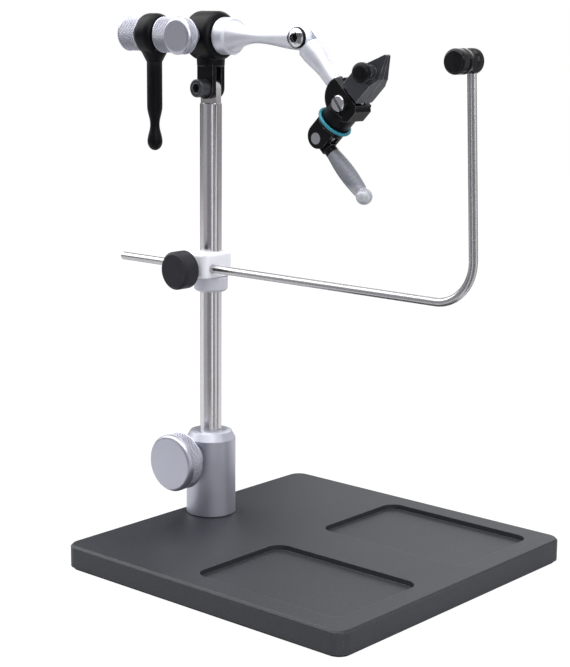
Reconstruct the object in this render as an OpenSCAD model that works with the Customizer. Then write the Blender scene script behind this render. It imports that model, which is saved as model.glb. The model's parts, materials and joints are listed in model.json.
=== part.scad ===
// Rotary fly tying vise on a square pedestal base, drawn in millimetres.
// X runs along the tyer's front edge towards the jaws, Y away from the tyer, Z up.
// The origin is the centre of the rubber pad's underside, where the vise stands on the bench.

/* [Base] */
// Side of the square base plate
base_side = 152.4; // [140:0.1:200]
// Thickness of the base plate
base_t = 9.5; // [8:0.1:14]
// Radius of the plate's upright corners
base_corner_r = 6.35; // [4:0.05:10]
// Bevel round the plate's top edge
base_bevel = 0.9; // [0.4:0.1:1.4]
// Thickness of the rubber pad
pad_t = 1.2; // [0.8:0.1:2]
// How far the pad stays inside the plate's edge
pad_inset = 1.4; // [1:0.1:3]
// Distance from the plate's left edge to the stem's axis
stem_inset = 13.4; // [13:0.1:18]

/* [Trays] */
// Length of each material tray along X
tray_l = 75.6; // [60:0.1:80]
// Depth milled into the plate
tray_depth = 2.4; // [1.5:0.1:4]
// Radius of a tray's corners
tray_corner_r = 6.35; // [4:0.05:10]
// Margin from the plate's edges to the trays
tray_margin = 10.4; // [9:0.1:16]
// Land between the two trays
tray_gap = 27.2; // [24:0.1:40]

/* [Stem and socket] */
// Radius of the stem, a 3/8 inch rod
stem_r = 4.7625; // [4:0.0001:5]
// Height of the stem's shoulder above the base plate
stem_top = 184.3; // [170:0.1:230]
// Radius of the socket post
socket_r = 11.1; // [10:0.1:13]
// Height of the socket's straight side
socket_side_h = 34.8; // [30:0.1:45]
// Height of the cone on top of the socket
socket_cone_h = 3.8; // [1:0.1:5]
// Thickness of the socket's floor
socket_floor = 8; // [6:0.1:12]
// Height of the socket knob's axis above the plate
socket_knob_z = 27.6; // [24:0.1:30]
// Radius of the socket knob
socket_knob_r = 12.6; // [10:0.1:15]
// Length of the socket knob's rim
socket_knob_l = 8.5; // [6:0.1:10]
// Distance from the stem's axis to the back of the socket knob
socket_knob_back = 18.1; // [15:0.1:22]

/* [Head] */
// Height of the tilt pivot above the stem's shoulder
pivot_rise = 6.4; // [6:0.1:10]
// Height of the barrel's axis above the tilt pivot
barrel_rise = 22.2; // [20:0.1:28]
// Radius of the barrel
barrel_r = 10.5; // [9.5:0.1:12]
// Length of the barrel
barrel_l = 14.4; // [12:0.1:20]
// Radius of the rotary shaft
shaft_r = 4; // [3.5:0.1:4.5]
// Width of the neck and the cheeks along X
cheek_w = 9.3; // [8:0.1:9.6]
// Thickness across both cheeks
cheek_t = 7.4; // [6.5:0.1:8]
// Thickness of the stem's flat tang
tang_t = 3.05; // [2.6:0.05:3.4]
// Radius of the lock knob
lock_knob_r = 7.8; // [7:0.1:9]
// Length of the lock knob's rim
lock_knob_l = 6; // [4:0.1:7]
// Distance from the shaft's axis to the back of the lock knob
lock_knob_back = 15.7; // [14:0.1:18]

/* [Crank end] */
// Radius of the knurled drag collar
collar_r = 7.9; // [7:0.1:9]
// Length of the drag collar's rim
collar_l = 10; // [8:0.1:12]
// Distance from the stem's axis to the drag collar's outer face
collar_face = 28.8; // [26:0.1:34]
// Radius of the crank's ring
crank_ring_r = 9.3; // [8.5:0.1:10]
// Length of the crank's ring
crank_ring_l = 10.3; // [8:0.1:12]
// Gap between the crank's ring and the drag collar
crank_gap = 0.8; // [0.2:0.1:2]
// Radius of the crank's lever
lever_r = 3.45; // [3:0.05:3.9]
// Length of the lever's straight part, from the shaft's axis
lever_l = 31.6; // [26:0.1:40]
// Length of the lever from the shaft's axis to the end of its bulb
lever_reach = 51.3; // [47:0.1:60]
// Radius of the lever's bulb
lever_bulb_r = 3.4; // [2.8:0.1:4]
// Radius of the end knob
end_knob_r = 7.5; // [6.5:0.1:8.5]
// Length of the end knob
end_knob_l = 11.8; // [9:0.1:14]

/* [Arms] */
// Length of the flange ring
flange_l = 6.6; // [5:0.1:8]
// Radius of the flange ring
flange_r = 7.9; // [7:0.1:9]
// Radius of the upper arm at the flange
hub_r = 6.7; // [6:0.1:7.5]
// Radius of the upper arm's waist
waist_r = 2.75; // [2.4:0.05:3.4]
// Distance from the flange to the waist
waist_l = 13.3; // [10:0.1:16]
// Distance from the flange to the elbow's axis
upper_l = 38.2; // [34:0.1:50]
// Radius of both arms at the elbow
elbow_r = 5.2; // [4.8:0.1:6]
// Angle of the lower arm below the horizontal
lower_drop = 45; // [38:1:52]
// Distance from the elbow's axis to the jaw lock screw
lower_l = 35.9; // [33:0.1:50]
// Radius of the lower arm at the jaw head
wrist_r = 3.65; // [3.2:0.05:4.2]

/* [Jaw head] */
// Angle of the jaws above the horizontal
jaw_rise = 45.5; // [40:0.5:50]
// Distance from the lock screw's axis to the jaws' tip
tip_reach = 26.9; // [25:0.1:32]
// Thickness of the front jaw plate
jaw_t = 5.7; // [4.6:0.1:6.4]
// Thickness of the rear jaw plate
rear_jaw_t = 5; // [4:0.1:5.6]
// Half the width of the jaws
jaw_half_w = 5; // [4.6:0.1:5.4]
// Thickness of the jaw holder along Y
holder_t = 10; // [9.6:0.1:12]
// Radius of the holder's round back
hub_back_r = 8.45; // [8:0.05:9.5]
// Radius of the holder's shank
shank_r = 6.5; // [6.2:0.1:7]
// Thickness of the O-ring's cord
o_ring_cord = 1.4; // [1:0.1:1.8]
// Thickness across the fork
fork_t = 8; // [7.4:0.1:9]
// Half the width of the fork
fork_half_w = 5.2; // [5:0.1:5.6]
// Radius of the cam lever's pin
cam_pin_r = 2.35; // [1.8:0.05:2.5]
// Radius of the jaw adjusting knob
adjust_r = 4.1; // [3.4:0.1:4.6]
// Height of the jaw adjusting knob
adjust_h = 3.8; // [3:0.1:5]
// Angle by which the front jaw opens
jaw_open = 2.2; // [1.2:0.1:3]

/* [Cam lever] */
// Length of the black cam, from the pin's axis
cam_l = 8.8; // [8:0.1:11]
// Radius of the grip at its thickest
grip_r = 3.5; // [3:0.1:3.8]
// Distance from the pin's axis to the end of the grip
grip_end = 28.6; // [24:0.1:29.5]
// Radius of the ball at the lever's end
ball_r = 3.4; // [2.8:0.1:3.8]
// Distance from the pin's axis to the ball's centre
ball_l = 31.8; // [31:0.1:40]

/* [Cradle] */
// Height of the rod's axis above the base plate
rod_z = 113; // [90:0.1:150]
// Radius of the cradle rod
rod_r = 1.75; // [1.5:0.05:2]
// Length of the rod behind the stem
rod_back = 49.4; // [30:0.1:60]
// Distance from the stem's axis to the rod's upright part
rod_front = 144.3; // [138:0.1:170]
// Inside the bend: radius of the rod's centre line
rod_bend_r = 17.2; // [10:0.1:24]
// Height of the spool's axis above the rod
spool_rise = 92.8; // [70:0.1:120]
// Lean of the upright part
rod_lean = 2.7; // [0:0.1:5]
// Radius of the spool's drum
spool_r = 4.85; // [4.2:0.05:6]
// Length of the spool
spool_l = 14.2; // [13:0.1:16]
// Width of the clamp block along X
clamp_w = 14.6; // [13:0.1:17]
// Distance from the stem's axis to the clamp's front face
clamp_front = 11.4; // [10:0.1:14]
// Height of the clamp block
clamp_h = 10.8; // [9:0.1:14]
// Radius of the cradle knob
cradle_knob_r = 8.3; // [7:0.1:9.5]
// Length of the cradle knob
cradle_knob_l = 7.6; // [6:0.1:9]
// Radius of the height collar
height_collar_r = 7.5; // [7:0.1:9]
// Height of the height collar
height_collar_h = 6.6; // [6:0.1:10]

/* [Hidden] */

// Clearances: a running fit, a seat within one assembly, and an overrun for cuts
fit = 0.04;
seat = 0.02;
seam_l = 0.3;
seam_step = 0.03;
cut = 1;
round_fn = 64;
hex_fn = 6;

// Colours
black = [0.06, 0.06, 0.07];
silver = [0.72, 0.73, 0.76];
steel = [0.62, 0.62, 0.64];
rubber = [0.08, 0.09, 0.12];
teal = [0.2, 0.62, 0.72];

// Base: heights and places
plate_top = pad_t + base_t;
stem_x = stem_inset - base_side / 2;
tray_w = (base_side - tray_gap) / 2 - tray_margin;
tray_x = base_side / 2 - tray_margin - tray_l / 2;
tray_y = (tray_gap + tray_w) / 2;
socket_h = socket_side_h + socket_cone_h;
socket_crown = 1.8;
socket_crown_drop = 0.6;
socket_foot_bevel = 0.5;
bolt_r = 3;
bolt_head_r = 6;
bolt_head_h = 3;
key_share = 0.667;
bolt_head_sink = 0.4;
bolt_grip = 6.5;

// Knobs: bevels, necks, studs
knob_bevel = 1.2;
knob_back_bevel = 0.4;
knob_neck_share = 0.5;
knob_neck_gap = 0.5;
stud_r = 2.5;
stud_tip_gap = 0.15;

// Stem and head
stem_floor_gap = 0.2;
stem_bevel = 0.6;
tang_slack = 0.05;
pivot_r = 2.4;
pivot_z = stem_top + pivot_rise;
shaft_z = pivot_z + barrel_rise;
barrel_shift = 0.2;
barrel_round = 2.4;
barrel_left = barrel_l / 2 + barrel_shift;
barrel_right = barrel_l / 2 - barrel_shift;
neck_top_r = 6.6;
neck_low_r = 6;
neck_round = 0.6;
slot_roof = 13.1;
pivot_head_r = 3.9;
pivot_head_h = 5.6;
pivot_key_r = 2.3;
pivot_key_depth = 2.6;
bush_wall = 2;
bush_l = 4.2;
bush_flange_r = 7.2;
bush_flange_t = 0.4;
bush_r = shaft_r + bush_wall;

// Shaft parts, as distances from the stem's axis
flange_x = barrel_right + bush_flange_t + fit;
arm_x = flange_x + flange_l;
elbow_x = arm_x + upper_l;
shaft_in_arm = 7;
shaft_spigot_r = 2.2;
shaft_in_knob = 9;
collar_neck_r = 6;
crank_x = collar_face + crank_gap;
crank_mid = crank_x + crank_ring_l / 2;
end_knob_x = crank_x + crank_ring_l + seat;
crank_boss_r = 5.6;
ring_round = 3.2;
flare_r = crank_ring_r * 0.68;
flare_start = crank_ring_r * 0.7;
flare_end = crank_ring_r * 1.3;
ring_bevel = 0.7;
bulb_end_l = 4;
bulb_z = lever_reach - bulb_end_l;
lever_neck_r = 2.1;
lever_neck_share = 0.52;
lever_neck_z = lever_l + (bulb_z - lever_l) * lever_neck_share;
lever_steps = 6;
crown_steps = 6;

// Arms
flange_bevel = 0.8;
profile_steps = 16;
hub_land = 0.6;
lap_gap = 0.04;
shoulder_gap = 0.25;
elbow_spot = 3.3;
elbow_head_r = 4.4;
elbow_head_h = 3.1;
elbow_rim_h = 0.9;
elbow_key_r = 2.2;
elbow_key_depth = 1.7;
elbow_screw_r = 2.5;
elbow_screw_end = 4.2;
wrist_land = 5;
tang_half_w = 2.7;
arm_tang_t = 2.2;
wrist_gap = 0.3;

// Jaw head, along the jaws from the lock screw's axis
lock_r = 2;
lock_head_r = 3.25;
lock_head_h = 3.4;
lock_slot_w = 1.1;
lock_slot_turn = -8;
lock_slot_depth = 1;
lock_head_bevel = 0.35;
block_front = 4.15;
block_rear = 5.25;
block_low = 7.2;
back_t = 0.95;
back_n = 2.15;
back_reach = norm([back_t, back_n]) + hub_back_r;
jaw_swing_down = 20;
jaw_swing_up = 20;
low_cut = 1.9;
low_cut_rise = 2.3;
jaw_gap = 1;
jaw_x = block_front + jaw_gap;
nose_x = jaw_x + 13.3;
top_x = jaw_x + 10.6;
tip_half_w = 0.6;
tip_n = 0.25;
scoop_x = jaw_x + 9.5;
scoop_end_x = jaw_x + 13.6;
thin_t = 3;
tip_t = 1.3;
scoop_curve = 1.3;
scoop_steps = 6;
boss_r = 2.9;
fulcrum_r = 0.6;
fulcrum_reach = 3.2;
jaw_rear_round = 0.8;
adjust_x = jaw_x + 12.4;
adjust_stud_r = 1.5;
adjust_neck_r = 1.9;
adjust_gap = 1.4;
adjust_rock = 0.2;
adjust_round = 2.2;
adjust_dome = 2;
adjust_end = 1.6;
seat_bevel = 0.4;
jaw_face_gap = 0.04;
tail_half_w = 3.4;
tail_t = 3.4;
tail_split = 0.35;
jaw_relief_extra = 0.1;
front_tail_in = 0.9;
rear_tail_l = 6.2;
rear_tail_in = 1.6;
front_tail_l = 0.84;
pocket_gap = 0.05;
pocket_depth = 1;
pocket_half_w = 4;
pocket_half_t = 4.2;
guide_r = 0.8;
guide_x = 14.05;
guide_proud = 0.15;
ring_x = 11.2;
ring_groove = 0.05;
shank_l = 8;
fork_x = block_rear + shank_l;
cam_x = 20.95;
fork_round_x = 19.55;
cam_slot_x = 15.6;
cam_t = 3.6;
cam_slot_gap = 0.2;
cam_r = 3.55;
cam_flank_r = 2.9;
rod_push_r = 0.9;
rod_push_n = 4;
rod_push_gap = 0.06;
push_tip_r = 0.3;
push_tip_l = 1.6;

// Cam lever
grip_start_r = 2.8;
grip_end_r = 3;
ball_neck_r = 2.8;
ball_steps = 11;
cam_collar_l = 2.6;
spigot_r = 1.6;

// Cradle
rod_y = stem_r + rod_r + 0.05;
clamp_back = 6.8;
clamp_round = 1.8;
clamp_corner_r = 3;
clamp_low = rod_z - 4.2;
collar_gap = 0.3;
height_collar_bevel = 1;
set_screw_r = 1.5;
set_screw_sink = 0.3;
cradle_knob_gap = 4.5;
cradle_neck_r = 4;
cradle_stud_r = 2;
spool_bevel = 0.9;
spool_waist_share = 0.85;
spool_rear_l = 3.2;
spool_waist_l = 4.2;
waist_steps = 8;
spool_ridge_l = 1.3;
spool_groove_l = 1.5;
spool_front_round = 1.5;
spool_rod_end = -1.5;
spool_back = 2.02;
rod_tip = 0.4;

// Turns a half outline, given as [radius, height] points, into a solid of revolution
module turned(points) {
    rotate_extrude($fn = round_fn) polygon(points);
}

// A slab with round upright corners, resting on z = 0
module rounded_slab(l, w, h, r) {
    translate([-l / 2, r - w / 2, 0]) cube([l, w - 2 * r, h]);
    translate([r - l / 2, -w / 2, 0]) cube([l - 2 * r, w, h]);
    for (sx = [-1, 1], sy = [-1, 1])
        translate([sx * (l / 2 - r), sy * (w / 2 - r), 0]) cylinder(h = h, r = r, $fn = round_fn);
}

// Section of the plate across its width, with both top edges bevelled
function plate_section(w) = [
    [-w / 2, 0], [w / 2, 0], [w / 2, base_t - base_bevel], [w / 2 - base_bevel, base_t],
    [base_bevel - w / 2, base_t], [-w / 2, base_t - base_bevel]
];

module plate_blank() {
    run = base_side - 2 * base_corner_r;
    rotate([90, 0, 0]) translate([0, 0, -run / 2]) linear_extrude(run) polygon(plate_section(base_side));
    rotate([90, 0, 90]) translate([0, 0, -run / 2]) linear_extrude(run) polygon(plate_section(base_side));
    for (sx = [-1, 1], sy = [-1, 1])
        translate([sx * run / 2, sy * run / 2, 0])
            turned([[0, 0], [base_corner_r, 0], [base_corner_r, base_t - base_bevel],
                [base_corner_r - base_bevel, base_t], [0, base_t]]);
}

module base_plate() {
    color(black) translate([0, 0, pad_t]) difference() {
        plate_blank();
        for (side = [-1, 1])
            translate([tray_x, side * tray_y, base_t - tray_depth])
                rounded_slab(tray_l, tray_w, tray_depth + cut, tray_corner_r);
        translate([stem_x, 0, -cut]) cylinder(h = base_t + 2 * cut, r = bolt_r + fit, $fn = round_fn);
        translate([stem_x, 0, 0]) turned([[0, -cut], [bolt_head_r + fit, -cut], [bolt_head_r + fit, bolt_head_sink],
            [bolt_r + fit, bolt_head_sink + bolt_head_h], [0, bolt_head_sink + bolt_head_h]]);
    }
}

module base_pad() {
    color(rubber) difference() {
        rounded_slab(base_side - 2 * pad_inset, base_side - 2 * pad_inset, pad_t, base_corner_r - pad_inset);
        translate([stem_x, 0, -cut]) cylinder(h = pad_t + 2 * cut, r = bolt_head_r + fit, $fn = round_fn);
    }
}

module stem_socket() {
    color(silver) translate([stem_x, 0, plate_top]) difference() {
        turned([[0, 0], [socket_r - socket_foot_bevel, 0], [socket_r, socket_foot_bevel],
            [socket_r, socket_side_h],
            [socket_r - socket_crown, socket_h - socket_crown_drop],
            [socket_r - 2 * socket_crown, socket_h], [0, socket_h]]);
        translate([0, 0, socket_floor]) cylinder(h = socket_h, r = stem_r + fit, $fn = round_fn);
        translate([0, 0, -cut]) cylinder(h = socket_floor + 2 * cut, r = bolt_r + seat, $fn = round_fn);
        translate([0, 0, socket_knob_z]) rotate([90, 0, 0])
            cylinder(h = socket_r + cut, r = stud_r + fit, $fn = round_fn);
    }
}

// Countersunk bolt that draws the socket down on the plate
module socket_bolt() {
    color(steel) translate([stem_x, 0, pad_t + bolt_head_sink]) difference() {
        turned([[0, 0], [bolt_head_r, 0], [bolt_r, bolt_head_h],
            [bolt_r, base_t + bolt_grip], [0, base_t + bolt_grip]]);
        translate([0, 0, -cut]) cylinder(h = bolt_head_h + cut, r = bolt_r * key_share, $fn = hex_fn);
    }
}

// A turned knob along z: neck from z = -neck_l, rim from z = 0, bored for its stud
module knob(r, l, neck_r, neck_l, bore_r) {
    difference() {
        turned([[0, -neck_l], [neck_r, -neck_l], [neck_r, 0], [r - knob_back_bevel, 0], [r, knob_back_bevel],
            [r, l - knob_bevel], [r - knob_bevel, l], [0, l]]);
        translate([0, 0, -neck_l - cut]) cylinder(h = neck_l + cut + l / 2, r = bore_r + seat, $fn = round_fn);
    }
}

// A stud along z with a bevelled point
module stud(r, l) {
    turned([[0, 0], [r / 2, 0], [r, r / 2], [r, l], [0, l]]);
}

module socket_knob() {
    color(silver) translate([stem_x, -socket_knob_back, plate_top + socket_knob_z]) rotate([90, 0, 0])
        knob(socket_knob_r, socket_knob_l, socket_knob_r * knob_neck_share,
            socket_knob_back - socket_r - knob_neck_gap, stud_r);
}

module socket_knob_screw() {
    start = stem_r + stud_tip_gap;
    color(steel) translate([stem_x, -start, plate_top + socket_knob_z]) rotate([90, 0, 0])
        stud(stud_r, socket_knob_back + socket_knob_l / 2 - start - seat);
}

// The stem stands on the socket's floor and carries a flat tang for the head
module stem() {
    low = socket_floor + stem_floor_gap;
    color(steel) translate([stem_x, 0, plate_top]) difference() {
        union() {
            translate([0, 0, low]) turned([[0, 0], [stem_r - stem_bevel, 0], [stem_r, stem_bevel],
                [stem_r, stem_top - low - stem_bevel / 2], [stem_r - stem_bevel / 2, stem_top - low],
                [0, stem_top - low]]);
            rotate([90, 0, 0]) translate([0, 0, -tang_t / 2]) linear_extrude(tang_t) {
                translate([0, pivot_z]) circle(r = cheek_w / 2, $fn = round_fn);
                translate([-cheek_w / 2, stem_top - cut]) square([cheek_w, pivot_rise + cut]);
            }
        }
        translate([0, 0, pivot_z]) rotate([90, 0, 0])
            cylinder(h = tang_t + 2 * cut, r = pivot_r + fit, center = true, $fn = round_fn);
    }
}

// Places children at the crossing of the shaft's axis and the stem's axis
module at_shaft() {
    translate([stem_x, 0, plate_top + shaft_z]) children();
}

// Half outline of a ring with both edges rounded
function barrel_outline(r, l, round) = [
    [0, 0], for (a = [-90 : 15 : 0]) [r - round + round * cos(a), round + round * sin(a)],
    for (a = [0 : 15 : 90]) [r - round + round * cos(a), l - round + round * sin(a)], [0, l]
];

// Black barrel over two cheeks that straddle the stem's tang
module head_housing() {
    color(black) at_shaft() difference() {
        union() {
            translate([-barrel_left, 0, 0]) rotate([0, 90, 0])
                turned(barrel_outline(barrel_r, barrel_l, barrel_round));
            translate([0, 0, -slot_roof]) turned([[0, 0], [neck_low_r - neck_round, 0], [neck_low_r, neck_round],
                [neck_top_r, slot_roof], [0, slot_roof]]);
            rotate([90, 0, 0]) translate([0, 0, -cheek_t / 2]) linear_extrude(cheek_t) {
                translate([0, -barrel_rise]) circle(r = cheek_w / 2, $fn = round_fn);
                translate([-cheek_w / 2, -barrel_rise]) square([cheek_w, barrel_rise]);
            }
        }
        translate([-barrel_left - cut, 0, 0]) rotate([0, 90, 0])
            cylinder(h = barrel_l + 2 * cut, r = bush_r + seat, $fn = round_fn);
        translate([-cheek_w, -tang_t / 2 - tang_slack, -barrel_rise - cheek_w])
            cube([2 * cheek_w, tang_t + 2 * tang_slack, barrel_rise + cheek_w - slot_roof]);
        translate([0, 0, -barrel_rise]) rotate([90, 0, 0])
            cylinder(h = cheek_t + 2 * cut, r = pivot_r + seat, center = true, $fn = round_fn);
        rotate([90, 0, 0]) cylinder(h = barrel_r + cut, r = stud_r + fit, $fn = round_fn);
    }
}

module pivot_screw() {
    color(black) at_shaft() translate([0, -cheek_t / 2, -barrel_rise]) rotate([90, 0, 0]) difference() {
        union() {
            turned([[0, 0], [pivot_head_r, 0], [pivot_head_r, pivot_head_h - knob_back_bevel],
                [pivot_head_r - knob_back_bevel, pivot_head_h], [0, pivot_head_h]]);
            translate([0, 0, -cheek_t]) cylinder(h = cheek_t + seat, r = pivot_r, $fn = round_fn);
        }
        translate([0, 0, pivot_head_h - pivot_key_depth])
            cylinder(h = pivot_key_depth + cut, r = pivot_key_r, $fn = hex_fn);
    }
}

// Two flanged sleeves that carry the shaft, one in each end of the barrel
module shaft_bushings() {
    color(steel) at_shaft() for (side = [[-barrel_left, -1], [barrel_right, 1]])
        translate([side[0], 0, 0]) rotate([0, side[1] * 90, 0]) difference() {
            turned([[0, -bush_l], [bush_r, -bush_l], [bush_r, 0], [bush_flange_r, 0],
                [bush_flange_r, bush_flange_t], [0, bush_flange_t]]);
            translate([0, 0, -bush_l - cut])
                cylinder(h = bush_l + bush_flange_t + 2 * cut, r = shaft_r + fit, $fn = round_fn);
        }
}

module rotary_shaft() {
    start = end_knob_x + shaft_in_knob;
    color(steel) at_shaft() translate([-start, 0, 0]) rotate([0, 90, 0])
        turned([[0, 0], [shaft_r - stem_bevel, 0], [shaft_r, stem_bevel], [shaft_r, start + arm_x - seat],
            [shaft_spigot_r, start + arm_x - seat], [shaft_spigot_r, start + arm_x + shaft_in_arm],
            [0, start + arm_x + shaft_in_arm]]);
}

module flange_ring() {
    color(silver) at_shaft() translate([flange_x, 0, 0]) rotate([0, 90, 0]) difference() {
        turned([[0, 0], [flange_r - flange_bevel / 2, 0], [flange_r, flange_bevel / 2],
            [flange_r, flange_l - flange_bevel], [flange_r - flange_bevel, flange_l], [0, flange_l]]);
        translate([0, 0, -cut]) cylinder(h = flange_l + 2 * cut, r = shaft_r + seat, $fn = round_fn);
    }
}

// Knurled collar with a neck that reaches the barrel's bushing
module shaft_collar() {
    neck_l = collar_face - collar_l - barrel_left - bush_flange_t - fit;
    color(silver) at_shaft() translate([-collar_face, 0, 0]) rotate([0, 90, 0]) difference() {
        turned([[0, 0], [collar_r - ring_bevel, 0], [collar_r, ring_bevel], [collar_r, collar_l - knob_back_bevel],
            [collar_r - knob_back_bevel, collar_l], [collar_neck_r, collar_l], [collar_neck_r, collar_l + neck_l],
            [0, collar_l + neck_l]]);
        translate([0, 0, -cut]) cylinder(h = collar_l + neck_l + 2 * cut, r = shaft_r + fit, $fn = round_fn);
    }
}

// Half outline of the crank's lever, downwards from the shaft's axis
lever_outline = [
    [0, 0], [lever_r, 0],
    for (i = [0 : lever_steps]) let (u = i / lever_steps)
        [lever_r + (lever_neck_r - lever_r) * ease(u), lever_l + (lever_neck_z - lever_l) * u],
    for (i = [1 : lever_steps]) let (u = i / lever_steps)
        [lever_neck_r + (lever_bulb_r - lever_neck_r) * ease(u), lever_neck_z + (bulb_z - lever_neck_z) * u],
    for (a = [15 : 15 : 90]) [lever_bulb_r * cos(a), bulb_z + bulb_end_l * sin(a)]
];

// Ring clamped on the shaft, with a boss towards the collar and the hanging lever
module crank_handle() {
    color(black) at_shaft() translate([-crank_mid, 0, 0]) difference() {
        union() {
            rotate([0, 90, 0]) translate([0, 0, -crank_ring_l / 2])
                turned(barrel_outline(crank_ring_r, crank_ring_l, ring_round));
            rotate([0, 90, 0]) cylinder(h = crank_ring_l / 2 + crank_gap - fit, r = crank_boss_r, $fn = round_fn);
            rotate([180, 0, 0]) turned(lever_outline);
            intersection() {
                rotate([180, 0, 0]) turned([[0, 0], [flare_r, flare_start], [lever_r, flare_end], [0, flare_end]]);
                cube([crank_ring_l, 2 * crank_ring_r, 4 * crank_ring_r], center = true);
            }
        }
        rotate([0, 90, 0]) translate([0, 0, -crank_ring_l])
            cylinder(h = 2 * crank_ring_l + crank_gap, r = shaft_r + seat, $fn = round_fn);
    }
}

module end_knob() {
    color(silver) at_shaft() translate([-end_knob_x, 0, 0]) rotate([0, -90, 0]) difference() {
        turned([[0, 0], [end_knob_r - knob_back_bevel, 0], [end_knob_r, knob_back_bevel],
            [end_knob_r, end_knob_l - knob_bevel], [end_knob_r - knob_bevel, end_knob_l], [0, end_knob_l]]);
        translate([0, 0, -cut]) cylinder(h = shaft_in_knob + 2 * cut, r = shaft_r + fit, $fn = round_fn);
    }
}

module lock_knob() {
    color(silver) at_shaft() translate([0, -lock_knob_back, 0]) rotate([90, 0, 0])
        knob(lock_knob_r, lock_knob_l, lock_knob_r * knob_neck_share,
            lock_knob_back - barrel_r - knob_neck_gap, stud_r);
}

module lock_knob_screw() {
    start = shaft_r + stud_tip_gap;
    color(steel) at_shaft() translate([0, -start, 0]) rotate([90, 0, 0])
        stud(stud_r, lock_knob_back + lock_knob_l / 2 - start - seat);
}

// Smooth change from 0 to 1 as u goes from 0 to 1
function ease(u) = (1 - cos(180 * u)) / 2;

// Half outline of the upper arm: hub, hollow waist, swelling towards the elbow
waist_arc_r = (waist_l * waist_l + (hub_r - waist_r) * (hub_r - waist_r)) / (2 * (hub_r - waist_r));
upper_outline = [
    [0, 0], [hub_r, 0],
    for (i = [0 : profile_steps / 2]) let (x = hub_land + (waist_l - hub_land) * 2 * i / profile_steps)
        [waist_r + waist_arc_r - sqrt(waist_arc_r * waist_arc_r - (waist_l - x) * (waist_l - x)), x],
    for (i = [1 : profile_steps]) let (u = i / profile_steps)
        [waist_r + (elbow_r - waist_r) * ease(u), waist_l + (upper_l - waist_l) * u],
    [0, upper_l]
];

// Cuts away one half of the lap: side 1 removes the half away from the tyer
module lap_cut(side, from_x, to_x) {
    reach = 2 * elbow_r;
    translate([from_x, side > 0 ? -lap_gap / 2 : -reach, -reach])
        cube([to_x - from_x, reach + lap_gap / 2, 2 * reach]);
}

module upper_arm() {
    color(silver) at_shaft() difference() {
        union() {
            translate([arm_x, 0, 0]) rotate([0, 90, 0]) turned(upper_outline);
            translate([elbow_x, 0, 0]) sphere(r = elbow_r, $fn = round_fn);
        }
        lap_cut(1, elbow_x - elbow_r - shoulder_gap, elbow_x + 2 * elbow_r);
        translate([arm_x - cut, 0, 0]) rotate([0, 90, 0])
            cylinder(h = shaft_in_arm + 2 * cut, r = shaft_spigot_r + seat, $fn = round_fn);
        translate([elbow_x, -elbow_spot, 0]) rotate([90, 0, 0])
            cylinder(h = elbow_r, r = elbow_head_r + seat, $fn = round_fn);
        translate([elbow_x, 0, 0]) rotate([90, 0, 0])
            cylinder(h = 2 * elbow_r, r = elbow_screw_r + seat, $fn = round_fn);
    }
}

module elbow_screw() {
    crown = elbow_head_h - elbow_rim_h;
    crown_r = (elbow_head_r * elbow_head_r + crown * crown) / (2 * crown);
    sweep = asin(elbow_head_r / crown_r);
    color(steel) at_shaft() translate([elbow_x, -elbow_spot, 0]) rotate([90, 0, 0]) difference() {
        union() {
            turned([[0, 0], [elbow_head_r, 0],
                for (i = [0 : crown_steps]) let (a = sweep * (1 - i / crown_steps))
                    [crown_r * sin(a), elbow_head_h - crown_r + crown_r * cos(a)]]);
            translate([0, 0, -elbow_spot - elbow_screw_end])
                cylinder(h = elbow_spot + elbow_screw_end + seat, r = elbow_screw_r, $fn = round_fn);
        }
        translate([0, 0, elbow_head_h - elbow_key_depth])
            cylinder(h = elbow_key_depth + cut, r = elbow_key_r, $fn = hex_fn);
    }
}

// Half outline of the lower arm, from the elbow's axis
wrist_x = lower_l - back_reach - wrist_gap;
taper_x = elbow_r + shoulder_gap;
lower_outline = [
    [0, 0], [elbow_r, 0], [elbow_r, taper_x],
    for (i = [1 : profile_steps / 2]) let (u = 2 * i / profile_steps)
        [elbow_r + (wrist_r - elbow_r) * ease(u), taper_x + (wrist_x - wrist_land - taper_x) * u],
    [wrist_r, wrist_x], [0, wrist_x]
];

module at_lower_arm() {
    at_shaft() translate([elbow_x, 0, 0]) rotate([0, lower_drop, 0]) children();
}

module lower_arm() {
    color(silver) at_lower_arm() difference() {
        union() {
            rotate([0, 90, 0]) turned(lower_outline);
            sphere(r = elbow_r, $fn = round_fn);
            rotate([90, 0, 0]) translate([0, 0, -arm_tang_t / 2]) linear_extrude(arm_tang_t) {
                translate([wrist_x - cut, -tang_half_w]) square([lower_l - wrist_x + cut, 2 * tang_half_w]);
                translate([lower_l, 0]) circle(r = tang_half_w, $fn = round_fn);
            }
        }
        lap_cut(-1, -2 * elbow_r, taper_x);
        rotate([90, 0, 0]) cylinder(h = 4 * elbow_r, r = elbow_screw_r + fit, center = true, $fn = round_fn);
        translate([lower_l, 0, 0]) rotate([90, 0, 0])
            cylinder(h = 2 * arm_tang_t, r = lock_r + fit, center = true, $fn = round_fn);
    }
}

// Jaw head frame: origin on the lock screw's axis, X along the jaws
module at_jaws() {
    at_lower_arm() translate([lower_l, 0, 0]) rotate([0, -lower_drop - jaw_rise, 0]) children();
}

// Extrudes an outline drawn along the jaws and across them, centred on the jaws' parting plane
module across(t) {
    rotate([90, 0, 0]) translate([0, 0, -t / 2]) linear_extrude(t) children();
}

// Side outline of the holder's block: straight front, cut lower corner, round back
module block_outline() {
    intersection() {
        translate([back_t, back_n]) circle(r = hub_back_r, $fn = round_fn);
        translate([-2 * hub_back_r, -block_low]) square([2 * hub_back_r + block_front, 3 * hub_back_r]);
    }
    polygon([
        [-block_rear, -block_low + low_cut], [low_cut - block_rear, -block_low], [block_front - low_cut, -block_low],
        [block_front, -block_low + low_cut_rise], [block_front, back_n], [-block_rear, back_n]
    ]);
}

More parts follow.
